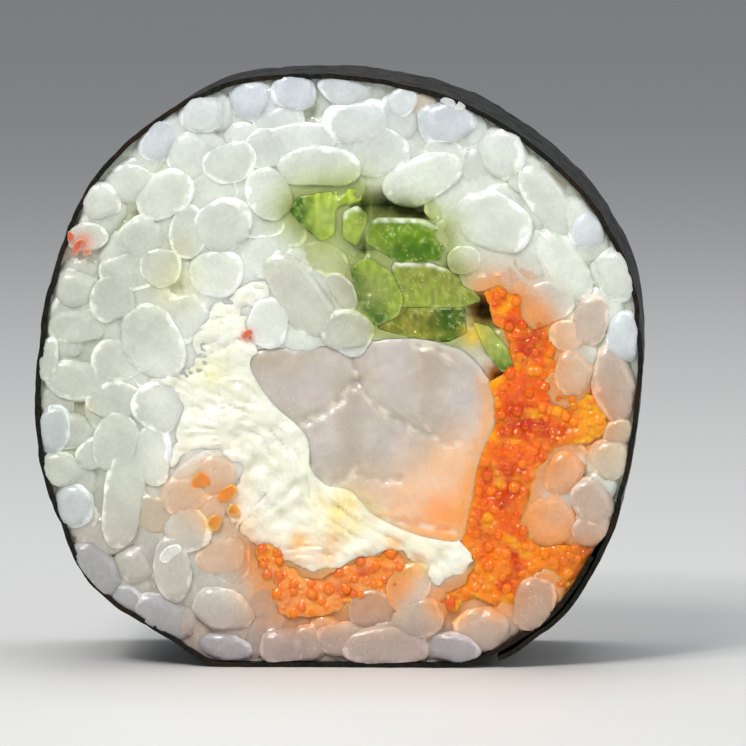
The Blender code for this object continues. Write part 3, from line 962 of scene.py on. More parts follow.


# Grains that lie on the front face just so, with stray eggs, red flecks, crumbs of starch and one painted
# glint:
# x, z, length, width, turn, sink and, for some, a tint, among them painted cool light and painted shade
PLACED: list[tuple] = [
    (8.6, 44.1, 5.2, 3.6, 10, 0, Tint.BLUISH), (13.0, 41.7, 4.9, 4.4, -60, 0.15),
    (16.6, 37.5, 7.9, 3.6, -62, 0.2), (20.3, 36.1, 3.8, 3.3, 60, 0.1, Tint.BLUISH),
    (22.8, 32.3, 4.8, 3.3, -75, 0), (12.5, 36.7, 6.9, 4.6, -22, 0), (7.0, 40.2, 6.7, 3.8, 22, 0.12),
    (11.5, 33.0, 4.1, 3.8, -30, 0.5), (14.9, 32.5, 4.4, 3.8, 0, 0.45, Tint.PEACH),
    (18.4, 33.2, 7.2, 3.8, -55, 0.15), (17.6, 39.6, 5.4, 1.8, -45, 0.8, Tint.TAN),
    (5.2, 45.8, 3.0, 2.3, 60, 0.2), (7.0, 46.0, 2.5, 2.0, 0, 0.5, Tint.TAN),
    (1.6, 44.8, 6.1, 3.8, 8, 0.1), (0.6, 47.5, 4.9, 2.6, -8, 0.15),
    (-3.7, 46.8, 3.9, 3.4, 0, 0.05, Tint.BLUISH), (-4.5, 44.8, 3.6, 2.8, 20, 0.4),
    (-7.1, 46.0, 3.9, 3.4, 85, 0.1, Tint.BLUISH), (-10.9, 44.9, 4.1, 3.6, 0, 0),
    (-14.6, 43.1, 4.4, 3.6, 35, 0.15, Tint.BLUISH), (-3.1, 43.5, 6.9, 2.8, 2, 0.3),
    (-1.6, 41.1, 6.7, 3.1, 0, 0.05), (-5.7, 42.7, 4.3, 3.3, 20, 0.3), (-8.9, 41.5, 4.4, 3.1, 15, 0.15),
    (-10.3, 39.2, 4.1, 2.8, 0, 0.35), (-5.7, 38.9, 4.3, 3.4, -60, 0.1), (-6.2, 36.6, 3.6, 2.8, 0, 0.4),
    (-9.5, 36.4, 5.1, 4.3, 30, 0), (-10.0, 32.5, 4.4, 3.8, 0, 0.1), (-12.3, 35.8, 4.3, 3.0, 85, 0.2),
    (-14.2, 38.8, 5.2, 3.6, 35, 0.1), (-16.6, 40.2, 4.3, 3.0, 15, 0.5), (-19.7, 38.2, 3.8, 3.3, 20, 0),
    (-20.3, 35.1, 3.9, 2.6, 5, 0.2), (-16.2, 35.3, 3.9, 3.6, 10, 0.15),
    (-17.2, 32.4, 4.8, 3.0, 0, 0.25), (-14.6, 32.9, 3.4, 3.0, 0, 0.1), (-21.6, 31.1, 4.4, 3.8, 0, 0.1),
    (-21.5, 28.0, 5.4, 3.1, 0, 0.35), (-23.8, 25.3, 3.8, 1.8, 80, 0.1),
    (-20.7, 23.5, 5.9, 3.3, -8, 0.2), (-22.6, 19.6, 4.4, 3.1, 80, 0.1, Tint.STEEL),
    (-15.2, 26.7, 6.6, 4.6, -60, 0.05), (-18.0, 25.2, 4.6, 3.4, 0, 0.3),
    (-18.3, 21.9, 4.8, 2.8, 0, 0.25), (-18.4, 18.6, 5.1, 3.6, 80, 0.2),
    (-19.9, 17.5, 3.8, 2.8, 20, 0.35),
    (-22.4, 16.3, 3.8, 3.0, -20, 0.15), (-21.3, 13.4, 4.1, 3.4, 90, 0, Tint.STEEL),
    (-17.7, 14.0, 8.5, 3.4, 84, 0.15), (-15.2, 17.4, 4.9, 3.0, 90, 0.2),
    (-15.0, 12.6, 3.8, 3.1, -20, 0.3, Tint.TAN), (-20.0, 7.9, 5.8, 3.7, -52, 0.05, Tint.DUSKY),
    (-17.5, 5.3, 3.6, 2.9, -40, 0.3, Tint.DUSKY),
    (-16.8, 8.4, 3.8, 3.4, 0, 0.05), (-13.6, 8.1, 5.6, 3.1, -85, 0.05),
    (-14.5, 4.0, 5.9, 3.6, -32, 0.1, Tint.DUSKY), (-12.7, 14.2, 4.1, 3.6, 10, 0.1, Tint.PEACH),
    (-10.1, 15.7, 3.9, 3.4, 70, 0.15, Tint.PEACH), (-10.2, 12.9, 2.8, 2.1, 60, 0.3, Tint.PEACH),
    (-11.3, 15.3, 1.6, 1.1, 10, 0.1, Tint.EGG), (-9.1, 14.3, 1.8, 1.0, 40, 0.1, Tint.EGG),
    (-10.1, 11.9, 1.3, 1.0, 70, 0.1, Tint.EGG), (-8.6, 12.9, 1.0, 0.9, 0, 0.15, Tint.EGG),
    (-21.3, 34.6, 1.5, 0.6, 60, 0, Tint.RED), (-22.0, 35.4, 0.9, 0.5, 100, 0, Tint.RED),
    (-20.6, 34.1, 0.7, 0.5, 20, 0.05, Tint.RED), (-7.5, 27.4, 1.0, 0.6, 40, 0, Tint.RED),
    (-9.3, 9.1, 6.2, 3.8, 10, 0.3, Tint.PEACH), (-9.5, 4.7, 5.6, 3.9, -15, 0.05),
    (-6.1, 5.5, 4.1, 3.3, 70, 0.5, Tint.MAUVE), (-4.5, 1.6, 4.3, 3.4, 0, 0),
    (-9.5, 1.7, 5.4, 2.8, -8, 0.25, Tint.DUSKY), (3.9, 2.0, 7.5, 3.4, 0, 0.1),
    (0.4, 3.2, 5.1, 3.1, 8, 0.3), (2.8, 4.8, 4.4, 3.1, 10, 0.35, Tint.MAUVE),
    (6.4, 4.0, 4.9, 3.4, 20, 0.15), (9.4, 1.6, 5.1, 2.8, -6, 0, Tint.DUSKY),
    (12.0, 3.9, 4.4, 3.8, 60, 0.1), (16.1, 5.2, 5.1, 3.9, 75, 0, Tint.MAUVE),
    (18.4, 16.0, 4.4, 3.4, 60, 0.1, Tint.ORANGE), (20.1, 13.9, 4.6, 3.4, -58, 0, Tint.MAUVE),
    (17.6, 12.1, 6.4, 4.8, 0, 0.2, Tint.ORANGE), (20.8, 11.6, 3.6, 3.0, 30, 0.1, Tint.MAUVE),
    (22.2, 17.3, 3.9, 3.4, 45, 0.1, Tint.TAN), (22.5, 23.4, 7.2, 3.8, -80, 0.1, Tint.MAUVE),
    (22.8, 19.4, 3.0, 2.6, 0, 0.25, Tint.TAN), (23.5, 27.3, 4.4, 3.0, 90, 0, Tint.BLUISH),
    (20.7, 28.6, 4.6, 3.1, 75, 0.15, Tint.MAUVE), (19.2, 24.3, 4.1, 3.4, 90, 0.15, Tint.PEACH),
    (19.0, 27.4, 3.6, 2.6, 0, 0.4, Tint.PEACH), (-3.1, 30.5, 8.9, 4.3, -52, 0, Tint.CLEAR),
    (0.6, 27.8, 4.3, 3.3, 0, 0.05, Tint.CLEAR), (0.3, 31.0, 3.8, 1.9, -55, 0.3, Tint.CLEAR),
    (-1.3, 33.7, 4.8, 2.8, -30, 0.35, Tint.GREEN), (-6.2, 33.8, 4.3, 2.3, 5, 0.6, Tint.OLIVE),
    (8.4, 38.3, 3.4, 2.1, 45, 0.6, Tint.GREEN), (9.3, 35.6, 3.8, 3.0, -60, 0.45, Tint.GREEN),
    # The white grain at (-13.8, 9.4) is a painted glint
    (10.3, 33.5, 2.6, 2.1, 0, 0.3), (-13.8, 9.4, 2.0, 1.0, 35, 0, Tint.PASTE),
    (9.0, 46.5, 1.3, 0.7, -15, 0, Tint.PASTE), (10.0, 46.2, 0.9, 0.7, 60, 0, Tint.PASTE),
]


# Places on the front face that the grains leave open: x, z, reach
CLEARINGS: list[tuple[float, float, float]] = [
    (12.1, 28.2, 1.9), (-13.2, 31.2, 0.6), (-2.2, 45.4, 0.7), (3.4, 37.7, 1.2), (2.3, 34.4, 0.8),
    (6.6, 37.8, 0.5), (-1.2, 37.0, 1.1),
]

# Hollows in the rice behind the front face's grains: x, z, reach, depth
HOLLOWS: list[tuple[float, float, float, float]] = [
    (3.6, 38.0, 0.9, 2.4), (5.2, 38.0, 0.9, 2.6), (6.8, 37.6, 0.8, 2.2), (1.9, 37.9, 0.7, 1.4),
    (11.8, 29.4, 1.0, 2.6), (12.6, 28.8, 0.7, 1.6), (-2.2, 45.4, 0.8, 0.6), (-13.2, 31.2, 0.8, 0.5),
    (2.0, 34.4, 0.7, 1.2), (13.2, 23.9, 0.8, 1.6), (21.9, 36.0, 0.8, 1.2), (-12.8, 34.4, 0.7, 1.0),
    (9.6, 32.9, 0.7, 1.0), (2.6, 31.2, 0.8, 1.0), (-16.4, 37.2, 0.7, 1.0), (-19.4, 20.4, 0.7, 0.6),
]

# Small stain marks, and painted shade in dark gaps, on the front face: x, z, reach, colour, share
SPOTS: list[tuple[float, float, float, Colour, float]] = [
    (-21.0, 34.9, 0.8, (0.85, 0.22, 0.12), 0.8), (-22.2, 34.2, 0.5, (0.85, 0.30, 0.18), 0.6),
    (-7.4, 27.2, 0.5, (0.80, 0.16, 0.08), 1.0), (-13.4, 31.5, 1.9, (0.80, 0.80, 0.50), 0.8),
    # Painted shade: the dark spots from (2.4, 37.6) to (7.0, 37.5) fill the gap above the third cucumber
    # stick
    (-12.9, 34.4, 1.2, (0.60, 0.60, 0.34), 0.5), (2.4, 37.6, 0.9, (0.10, 0.16, 0.02), 0.9),
    (4.0, 37.9, 0.9, (0.05, 0.08, 0.01), 1.0), (5.6, 37.8, 0.8, (0.05, 0.08, 0.01), 1.0),
    (7.0, 37.5, 0.7, (0.10, 0.15, 0.02), 0.9), (2.2, 34.4, 1.5, (0.26, 0.36, 0.06), 0.9),
    (-1.0, 37.0, 1.3, (0.34, 0.44, 0.12), 0.8), (9.8, 32.9, 1.0, (0.30, 0.34, 0.10), 0.6),
    (3.0, 31.0, 1.6, (0.30, 0.34, 0.10), 0.7), (-23.9, 32.5, 0.35, (0.01, 0.01, 0.01), 1.0),
    (-10.9, 14.3, 2.8, (0.84, 0.44, 0.18), 0.75),
    (-4.6, 7.2, 2.4, (0.84, 0.36, 0.10), 0.8), (-7.4, 9.4, 1.6, (0.70, 0.26, 0.08), 0.8),
    # Painted shade: the spot at (-4.4, 1.4), at the bottom
    (-4.4, 1.4, 2.6, (0.33, 0.26, 0.26), 0.6), (20.0, 13.9, 1.4, (0.56, 0.34, 0.24), 0.6),
    (-11.2, 15.3, 0.6, (0.92, 0.36, 0.02), 1.0),
    (-9.6, 14.4, 0.7, (0.85, 0.26, 0.02), 0.9), (-10.4, 11.9, 0.7, (0.90, 0.42, 0.05), 0.9),
    (-8.2, 12.0, 1.4, (0.85, 0.50, 0.22), 0.7), (-20.5, 21.2, 0.7, (0.66, 0.66, 0.36), 0.4),
    (-10.7, 24.1, 1.3, (0.72, 0.74, 0.36), 0.7), (-3.2, 10.4, 0.8, (0.92, 0.48, 0.10), 0.8),
    (-1.0, 8.9, 0.8, (0.90, 0.42, 0.08), 0.7), (4.6, 10.2, 0.8, (0.92, 0.45, 0.08), 0.7),
    (6.6, 8.4, 1.0, (0.94, 0.50, 0.12), 0.7), (0.4, 12.8, 2.0, (0.95, 0.74, 0.26), 0.9),
    (-0.6, 10.4, 0.9, (0.80, 0.46, 0.16), 0.7), (2.6, 12.9, 1.0, (0.60, 0.52, 0.20), 0.5),
    (12.4, 27.8, 1.7, (0.36, 0.40, 0.10), 0.95), (11.0, 27.3, 0.8, (0.92, 0.60, 0.03), 1.0),
    # Painted shade: the two dark holes beside the sticks at the right
    (11.9, 29.6, 0.9, (0.02, 0.02, 0.01), 1.0), (13.1, 23.6, 0.6, (0.06, 0.10, 0.01), 0.8),
    (-9.9, 19.6, 0.9, (0.70, 0.74, 0.62), 0.5),
    (-6.8, 18.2, 1.0, (0.72, 0.74, 0.60), 0.5), (-4.3, 16.5, 1.0, (0.72, 0.74, 0.60), 0.4),
]


def stained_and_shaded(places: np.ndarray, colours: np.ndarray) -> np.ndarray:
    """Puts the front face's small stain marks and painted shade on colours.

    Args:
        places: The places, one (x, z) a row.
        colours: Their colours, one a row.

    Returns:
        The colours with these marks on them.
    """
    for x, z, reach, colour, share in SPOTS:
        away = ((places - np.array((x, z))) ** 2).sum(1) / reach**2
        colours = mixed(colours, colour, share * np.exp(-away))
    return colours


@dataclass
class Rice:
    """The rice: a paste that holds the grains, and the grains on both cut faces.

    Attributes:
        recess: How far the paste lies behind the knife's plane.
        filled: How much nearer to it the paste is in the middle, where the grains stick together.
        layers: The sink and count of the grains in each layer, the nearest first.
        long_grain: The least and the most length of a grain that lies along the face.
        short_grain: The least and the most length of one that points into it.
        width: The least and the most width.
        spacing: How near the middle lines of two grains may be, as a share of their width.
        softness: How soft the knife's edge on a grain is.
        give: How far from the nori a grain starts to give way to it.
        squareness: How square a grain's cross-section is, from 1 for round down to 0.
        tries: How many places are tried.
        grid: The size of the finest steps on the paste's faces.
    """

    plan: Plan
    mesher: Mesher
    recess: float = 0.95
    filled: float = 0.45
    layers: tuple[tuple[Pair, int], ...] = (((0.05, 0.35), 190), ((0.35, 0.65), 210))
    long_grain: Pair = (5.2, 7.0)
    short_grain: Pair = (3.8, 5.0)
    width: Pair = (3.3, 4.2)
    spacing: float = 0.62
    softness: float = 0.1
    give: float = 0.5
    squareness: float = 0.8
    tries: int = 14000
    grid: float = 0.6

    def tints(self, places: np.ndarray, face: Face) -> np.ndarray:
        """Gives the rice's colours by its neighbours, with painted cool light on top and painted shade low
        down.

        Args:
            places: The places, one (x, z) a row.
            face: The cut face that they are on.

        Returns:
            A colour a row.
        """
        fillings = self.plan.fillings
        x, z = places.T
        green = np.max([fillings[name].depths(places) for name in GREEN_STICKS], axis=0)
        white = fillings["cream_cheese"].depths(places)
        roe = np.maximum(fillings["roe_right"].depths(places), fillings["roe_bottom"].depths(places))
        colours = np.tile(Tint.PLAIN.value, (len(places), 1))
        for tint, shares in (
            (Tint.LEFT, eased((-x - 6) / 14) * eased((44 - z) / 12)),
            # Painted cool light from above
            (Tint.BLUISH, 0.6 * eased((z - 40) / 8)),
            (Tint.GREEN, 0.85 * eased(1 + green / 3.2)),
            (Tint.AMONG_GREEN, 0.7 * eased(1.2 + green)),
            # Painted shade towards the bottom
            (Tint.LOW, 0.45 * eased((16 - z) / 6) + 0.55 * eased((7 - z) / 5)),
            (Tint.PASTE, 0.6 * eased(1 + white / 3.0) * eased((z - 14) / 4)),
            (Tint.PEACH, 0.8 * eased(1 + roe / 4.0)),
            (Tint.ORANGE, 0.9 * eased(1 + roe / 1.7)),
        ):
            colours = mixed(colours, tint.value, shares)
        return stained_and_shaded(places, colours) if face is Face.FRONT else colours

    def lay(self, face: Face, placed: list[Grain]) -> list[Grain]:
        """Chooses where the grains lie on one cut face.

        Args:
            face: The face.
            placed: The grains that lie there already.

        Returns:
            All the grains.
        """
        grains = list(placed)
        for layer, (sinks, count) in enumerate(self.layers):
            rng = np.random.default_rng(7 * layer + face.value + 3)
            taken = list(placed) if layer == 0 else []
            low = self.plan.rice.starts.min(0)
            high = self.plan.rice.starts.max(0)
            middles = rng.uniform(low, high, (self.tries, 2))
            turns = rng.uniform(0, 180, self.tries)
            widths = rng.uniform(*self.width, self.tries)
            short = rng.random(self.tries) < 0.55
            lengths = np.where(short, rng.uniform(*self.short_grain, self.tries),
                               rng.uniform(*self.long_grain, self.tries))
            offered = [Grain(x, z, length, width, turn, rng.uniform(*sinks)) for (x, z), length, width, turn
                       in zip(middles, lengths, widths, turns)]
            ends = np.array([grain.ends() for grain in offered])
            flat = ends.reshape(-1, 2)
            room = self.plan.rice.depths(flat).reshape(-1, 3).min(1)
            for outline in self.plan.fillings.values():
                room = np.minimum(room, -outline.depths(flat).reshape(-1, 3).max(1) + 0.7)
            for x, z, reach in CLEARINGS if face is Face.FRONT else ():
                away = np.sqrt(((ends - np.array((x, z))) ** 2).sum(-1)).min(1) - widths / 2
                room = np.where(away < reach, -1.0, room)
            lines = [grain.ends() for grain in taken]
            wide = [grain.width for grain in taken]
            for i in np.flatnonzero(room > widths * 0.3):
                if len(taken) >= count:
                    break
                if lines:
                    gaps = np.array(lines)[:, :, None, :] - ends[i][None, None]
                    near = np.sqrt((gaps**2).sum(-1)).min((1, 2))
                    if (near < (np.array(wide) + widths[i]) / 2 * self.spacing).any():
                        continue
                taken.append(offered[i])
                lines.append(ends[i])
                wide.append(widths[i])
            grains += [grain for grain in taken if grain not in placed]
            LOG.info("rice, %s face, layer %d: %d grains", face.name.lower(), layer + 1, len(taken))
        return grains

    def shape(self, grain: Grain, face: Face, rng: random.Random) -> bmesh.types.BMesh:
        """Makes one grain's mesh.

        Args:
            grain: Where it lies.
            face: The cut face that it lies on.
            rng: Draws its unevenness.

        Returns:
            A closed mesh, painted.
        """
        inside = eased((self.plan.rice.depth(grain.x, grain.z) - 3.5) / 3) * (0.4 if grain.tint else 1.0)
        deep = grain.width * rng.uniform(0.8, 0.95)
        sizes = (grain.length / 2 * (1 + 0.06 * inside), deep / 2, grain.width / 2 * (1 + 0.08 * inside))
        spare = rng.uniform(0.1, 0.5) + 0.55 * inside
        depth = HALF_LENGTH - grain.sink - deep / 2 + spare
        turn = Euler((rng.uniform(-0.3, 0.3), -math.radians(grain.turn), rng.uniform(-0.22, 0.22)))
        bend = rng.uniform(-0.35, 0.35)
        salt = rng.uniform(0, 90)
        tips = (rng.uniform(1.5, 3.2), rng.uniform(1.5, 3.2))
        clear = rng.uniform(0.92, 1.0) - 0.06 * inside
        rings, sides = (11, 18) if grain.sink < 0.55 else (7, 10)
        bm = bmesh.new()
        bmesh.ops.create_uvsphere(bm, u_segments=sides, v_segments=rings, radius=1.0)
        bmesh.ops.rotate(bm, cent=(0, 0, 0), matrix=Matrix.Rotation(math.pi / 2, 3, "Y"), verts=bm.verts)
        seats = [vert.co * clear for vert in bm.verts]
        knife = HALF_LENGTH - grain.sink
        turned = turn.to_matrix()
        middle = Vector((grain.x, face.value * depth, grain.z)) + self.pushed_out(grain)
        for vert in bm.verts:
            x, y, z = vert.co
            uneven = 1 + 0.2 * noise.noise(vert.co * 1.4 + Vector((salt, 0, 0)))
            fat = max(0.0, 1 - abs(x) ** tips[x > 0]) ** 0.5 * uneven
            thin = max(math.hypot(y, z), 1e-6)
            y, z = (math.copysign(abs(part / thin) ** self.squareness, part) * fat for part in (y, z))
            place = turned @ Vector((x * sizes[0], y * sizes[1], z * sizes[2] - bend * (x * x - 0.4)))
            place += middle
            proud = abs(place.y) - knife
            if proud > -4 * self.softness:
                proud = -self.softness * math.log1p(math.exp(-proud / self.softness))
                place.y = face.value * (knife + proud)
            vert.co = place
        self.keep_in(bm)
        colours = self.tints(np.array([(vert.co.x, vert.co.z) for vert in bm.verts]), face)
        if grain.tint:
            colours = mixed(colours, grain.tint.value, 1.0 if grain.tint in (Tint.EGG, Tint.RED) else 0.65)
        paint(bm, np.minimum(colours * rng.uniform(0.94, 1.05), 0.93), seats)
        return bm

    def pushed_out(self, grain: Grain) -> Vector:
        """Returns how far a grain near the nori moves towards it, to cover its cut edge."""
        depths, ways = self.plan.rice.measured(grain.ends())
        i = depths.argmin()
        gap = depths[i] - grain.width / 2 + (0.5 if grain.sink < 0.3 else 0.0)
        if gap > 1.5 or grain.width < 1.5:
            return Vector()
        x, z = ways[i] * -min(max(gap, 0.0), 0.8)
        return Vector((x, 0, z))

    def keep_in(self, bm: bmesh.types.BMesh) -> None:
        """Presses a grain's mesh in where it would come out of the roll."""
        verts = bm.verts[:]
        places = np.array([(vert.co.x, vert.co.z) for vert in verts])
        depths, ways = self.plan.rice.measured(places)
        for vert, depth, way in zip(verts, depths, ways):
            back = eased((HALF_LENGTH - abs(vert.co.y)) / 0.9)
            least = (0.04 - NORI_THICKNESS) * (1 - back)
            if depth < least + self.give:
                short = least + self.give - depth
                pressed = least + self.give * math.exp(-short / self.give)
                vert.co.x += way[0] * (pressed - depth)
                vert.co.z += way[1] * (pressed - depth)

    def paste(self) -> bpy.types.Object:
        """Makes the body of rice behind the grains."""
        bm = prism(self.plan.rice, -HALF_LENGTH, HALF_LENGTH)
        obj = self.mesher.make("rice_grains", bm)
        for outline in self.plan.fillings.values():
            self.mesher.make("Cutter", prism(outline, -ROLL_LENGTH, ROLL_LENGTH), self.mesher.parts)
        self.mesher.combine(obj, "DIFFERENCE")
        bm = bmesh.new()
        bm.from_mesh(obj.data)
        cut_grid(bm, self.grid)
        places = np.array([(vert.co.x, vert.co.z) for vert in bm.verts])
        filled = eased((self.plan.rice.depths(places) - 3.0) / 3)
        for vert, share in zip(bm.verts, filled):
            side = math.copysign(1.0, vert.co.y)
            place = Vector((vert.co.x, side * NOISE_APART, vert.co.z))
            bump = noise.noise(place / 1.6) + 0.5 * noise.noise(place / 0.7)
            if abs(vert.co.y) > HALF_LENGTH - 0.01:
                recess = self.recess - self.filled * share
                vert.co.y = side * (HALF_LENGTH - recess + 0.3 * bump * (1 - 0.3 * share))
                for x, z, reach, deep in HOLLOWS if side < 0 else ():
                    away = ((vert.co.x - x) ** 2 + (vert.co.z - z) ** 2) / reach**2
                    vert.co.y += deep * math.exp(-away)
        paint(bm, self.tints(places, Face.FRONT), [Vector()] * len(places))
        bm.to_mesh(obj.data)
        bm.free()
        return obj

    def build(self, finish: bpy.types.Material) -> bpy.types.Object:
        """Builds and dresses the rice."""
        obj = self.paste()
        for face in Face:
            placed = [Grain(*numbers) for numbers in PLACED] if face is Face.FRONT else []
            rng = random.Random(11 + face.value)
            for grain in self.lay(face, placed):
                self.mesher.make("Grain", self.shape(grain, face, rng), self.mesher.parts)
        self.mesher.combine(obj, "UNION")
        return self.mesher.finish(obj, finish, Slot.RICE, GRAIN_EDGE, "rice")


@dataclass
class Nori:
    """The sheet of seaweed round the rice, lapped over its own start at the lower right.

    Attributes:
        steps: How many strips the sheet has across its width.
    """

    plan: Plan
    mesher: Mesher
    steps: int = 44

    def build(self, finish: bpy.types.Material) -> bpy.types.Object:
        """Builds and dresses the sheet."""
        roll = self.plan.roll
        total = roll.length()
        count = len(roll.points)
        bm = bmesh.new()
        verts = []
        for i in range(count + int(count * LAP_LENGTH / total) + 1):
            depth = sheet_depth(total * i / count, total)
            point = roll.points[i % count] + roll.inward(i % count) * depth
            verts.append(bm.verts.new((point.x, -HALF_LENGTH, point.y)))
        edges = [bm.edges.new(pair) for pair in zip(verts, verts[1:])]
        for _ in range(self.steps):
            drawn = bmesh.ops.extrude_edge_only(bm, edges=edges)["geom"]
            edges = [item for item in drawn if isinstance(item, bmesh.types.BMEdge)]
            ends = [item for item in drawn if isinstance(item, bmesh.types.BMVert)]
            bmesh.ops.translate(bm, vec=(0, ROLL_LENGTH / self.steps, 0), verts=ends)
        for vert in bm.verts:
            self.crinkle(vert)
        bmesh.ops.recalc_face_normals(bm, faces=bm.faces)
        obj = self.mesher.make("nori_sheet", bm)
        sheet = obj.modifiers.new("Sheet", "SOLIDIFY")
        sheet.thickness = NORI_THICKNESS
        sheet.offset = -1.0
        sheet.use_even_offset = True
        self.mesher.applied(obj)
        return self.mesher.finish(obj, finish, Slot.NORI, CUT_EDGE, "nori")

    def crinkle(self, vert: bmesh.types.BMVert) -> None:
        """Presses one of the sheet's corners in, as the grains and the drying do."""
        place = vert.co.copy()
        out = Vector((place.x, 0, place.z - ROLL_MIDDLE)).normalized()
        wave = 0.12 * (noise.noise(place / 7.0) - 1)
        cells = 0.22 * min(0.0, noise.noise(place / 2.6) - 0.05)
        folds = 0.10 * noise.noise(Vector((place.x, place.y * 0.35, place.z)) / 1.1)
        vert.co += out * (wave + cells + min(folds, 0.04)) * eased(place.z - 1.0)
        if abs(place.y) > HALF_LENGTH - 0.05:
            ragged = noise.noise(place / 1.7) + 0.6 * noise.noise(place / 0.5)
            vert.co.y -= math.copysign(0.22 + 0.2 * ragged, place.y)


@dataclass
class Filling:
    """A filling that runs through the roll, with relief on its cut faces.

    Attributes:
        name: The solid that it stands for.
        others: The fillings that press into it.
        recess: How far its face lies behind the knife's plane.
        rim: How much further its rim lies back.
        rim_width: How wide the rounding of its rim is.
        grid: The size of its face's finest steps.
        relief: Gives the height above the face at a place, by face.
        tint: Gives the colour at a place, by face and by the distance from its rim.
        stains_and_shade: Whether the front face's small stain marks and painted shade show on it.
    """

    plan: Plan
    mesher: Mesher
    name: str
    others: list[str]
    recess: float
    rim: float
    rim_width: float
    grid: float
    relief: Callable[[Vector, Face], float]
    tint: Callable[[Vector, Face, float], Colour]
    stains_and_shade: bool = True

    def body(self) -> bpy.types.Object:
        """Makes the filling's body, cut back from its neighbours, with relief and colour."""
        own = self.plan.fillings[self.name]
        obj = self.mesher.make(f"{self.name}_cut", prism(own, -HALF_LENGTH, HALF_LENGTH))
        for other in self.others:
            cutter = prism(self.plan.fillings[other], -ROLL_LENGTH, ROLL_LENGTH)
            self.mesher.make("Cutter", cutter, self.mesher.parts)
        self.mesher.combine(obj, "DIFFERENCE")
        bm = bmesh.new()
        bm.from_mesh(obj.data)
        cut_grid(bm, self.grid)
        places = np.array([(vert.co.x, vert.co.z) for vert in bm.verts])
        depths = own.depths(places)
        for other in self.others:
            depths = np.minimum(depths, -self.plan.fillings[other].depths(places))
        tints = []
        seats = []
        for vert, depth in zip(bm.verts, depths):
            face = Face.FRONT if vert.co.y < 0 else Face.BACK
            depth = max(depth, 0.0)
            place = Vector((vert.co.x, vert.co.z))
            round_off = 1 - min(depth / self.rim_width, 1.0)
            back = self.recess + self.rim * (1 - math.sqrt(max(1 - round_off**2, 0.0)))
            height = self.relief(place, face) * (1 - 0.6 * round_off)
            tints.append(self.tint(place, face, depth))
            seats.append(Vector((0.0, 0.0, 0.6 * noise.noise(vert.co / 0.9))))
            vert.co.y = face.value * (HALF_LENGTH - max(back - height, 0.02))
        tints = np.array(tints)
        if self.stains_and_shade:
            fronts = np.array([[vert.co.y < 0] for vert in bm.verts])
            tints = np.where(fronts, stained_and_shaded(places, tints), tints)
        paint(bm, tints, seats)
        bm.to_mesh(obj.data)
        bm.free()
        return obj

    def build(self, finish: bpy.types.Material, slot: Slot) -> bpy.types.Object:
        """Builds and dresses the filling."""
        return self.mesher.finish(self.body(), finish, slot, CUT_EDGE, self.name)


def bump_at(place: Vector, face: Face, size: float, layer: float = 0.0) -> float:
    """Returns smooth noise at a place on a cut face, with bumps of about this size."""
    return noise.noise(Vector((place.x, face.value * NOISE_APART + layer, place.y)) / size)


def along(place: Vector, path: list[Pair]) -> float:
    """Returns the distance from a place to an open path."""
    best = 1e9
    for start, end in zip(path, path[1:]):
        first = Vector(start)
        side = Vector(end) - first
        t = min(max((place - first).dot(side) / side.length_squared, 0.0), 1.0)
        best = min(best, (place - first - side * t).length)
    return best


